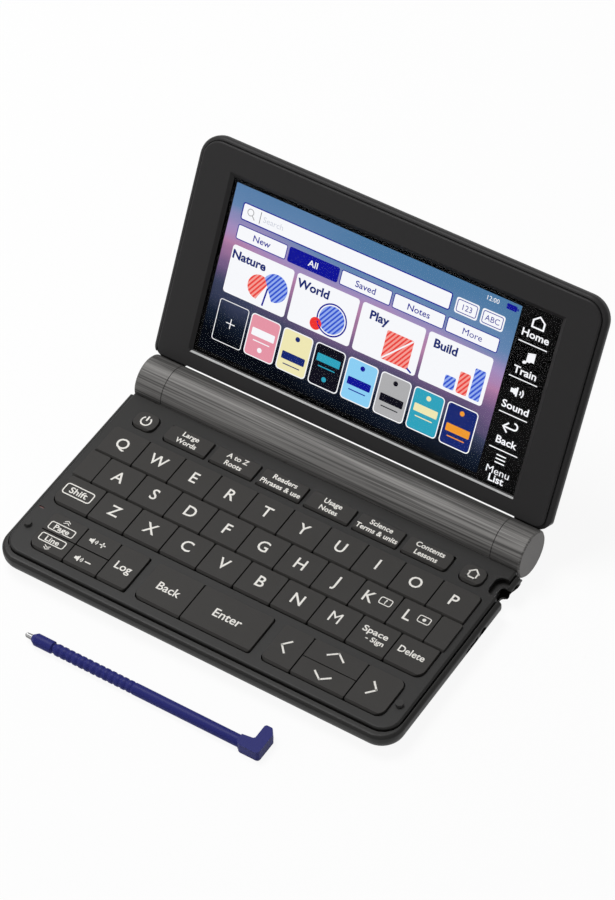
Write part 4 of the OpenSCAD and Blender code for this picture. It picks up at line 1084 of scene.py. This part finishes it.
def underside():
    """The four screws that hold the base together."""
    for number, x, y in ((1, -41.04, -34.99), (2, -41.04, -60.72),
                         (3, 41.04, -34.99), (4, 41.04, -60.72)):
        screw(x, y, number)


BLANK_IN, BLANK_OUT = 61.7, 68.85      # sides of the two blank caps
BLANK_LOW, BLANK_HIGH = 6.54, KEY_TOP - 0.06
LENS_TOP = PLATE_Z - 0.2


def details():
    """The blank caps, the display's lower lip with its painted highlight, the lamp's lens, and what
    shows in the sockets.
    """
    for name, x0, x1 in (("blank_left", -BLANK_OUT, -BLANK_IN),
                         ("blank_right", BLANK_IN, BLANK_OUT)):
        blank = cap_block(x0, x1, -46.94, -35.13, BLANK_LOW, BLANK_HIGH, PLAIN)
        finish_piece(to_base(eased(blank, CAP_EASE)), name, "base", "keys", CREASE)
    # painted highlight: a pale strip on the polished lower edge of the display's opening, which
    # slopes down to the glass
    lip = lifted(plate(-60.2, 0, 60.2, 0.7, 0), 0.03, 0.05)
    lip.rotation_euler = Euler((math.radians(-45), 0, 0))
    lip.location = (0, 13.62 * MM, -1.6 * MM)
    finish_piece(to_lid(settle()), "display_lip_painted_highlight", "lid", "lid", finish="lip")
    lens = rounded_block(-70.36, -68.44, -62.8, -62.14, LENS_TOP - 0.28, LENS_TOP,
                         (0.3, 0.3, 0.3, 0.3))
    round_top(lens, LENS_TOP, 0.08)
    finish_piece(to_base(lens), "lamp_lens", "base", "case", finish="lens")
    # the data socket's nose and the earphone socket's black liner, both open to the right
    nose = hollowed(slab(67.0, 72.5, -40.63, -34.17, 3.27, 5.73), 0.4, 3.6)
    finish_piece(to_base(nose), "data_socket_nose", "base", "steel", finish="nickel")
    liner = hollowed(axle(66.7, 71.9, 1.79, -31.2, 4.5, 32), 0.12, 5.0)
    finish_piece(to_base(liner), "earphone_liner", "base", "board", finish="jack")


# ---- Room ----

WHITE = (1, 1, 1, 1)
FLOOR_SIZE = 6                         # metres
FLOOR_GLOW = 0.92                      # how much of the floor that is seen is plain white
STUDIO = 0.17                          # the room's own light, which fills the shadows
LAMPS = (                              # place and width in metres, and watts
    ("lamp_key", (-0.38, 0.12, 0.92), 0.45, 7.5),
    ("lamp_front", (0.5, -0.9, 0.7), 0.9, 0.7),
    ("lamp_left", (-0.8, -0.7, 0.45), 0.6, 1.8),
)


def lay_floor():
    """A pale floor, nearly white where it is seen, and plain where it lights the object."""
    only()
    bpy.ops.mesh.primitive_plane_add(size=FLOOR_SIZE, location=(0, 0, 0))
    floor = bpy.context.object
    floor.name = "floor"
    f = Finish("floor_pale", Roughness=0.9, Specular_IOR_Level=0.1)
    f.feed(Base_Color=f.mix(f.noise(40, 2), (0.90, 0.90, 0.90), (0.92, 0.92, 0.92)))
    f.blend(f.seen() * FLOOR_GLOW, Value(f, f.shader.outputs[0]),
            f.node("ShaderNodeEmission", {}, Color=WHITE), "Material Output")
    floor.data.materials.append(f.material)


def fill_room():
    """Soft light from all round, and plain white for what is seen or mirrored."""
    world = bpy.data.worlds.new("studio")
    bpy.context.scene.world = world
    world.use_nodes = True
    light = Nodes(world.node_tree)
    light.tree.nodes.remove(light.tree.nodes["Background"])
    soft, white = (light.node("ShaderNodeBackground", {}, Color=WHITE, Strength=strength)
                   for strength in (STUDIO, 1.0))
    light.blend(light.seen(), soft, white, "World Output")


def hang_lamps():
    """Square lamps that face the middle of the floor."""
    for name, spot, size, power in LAMPS:
        lamp = bpy.data.lights.new(name, "AREA")
        lamp.size, lamp.energy = size, power
        holder = bpy.data.objects.new(name, lamp)
        bpy.context.scene.collection.objects.link(holder)
        holder.location = spot
        holder.rotation_euler = (-Vector(spot)).to_track_quat("-Z", "Y").to_euler()


housing()
keyboard()
display()
underside()
details()
lay_floor()
fill_room()
hang_lamps()
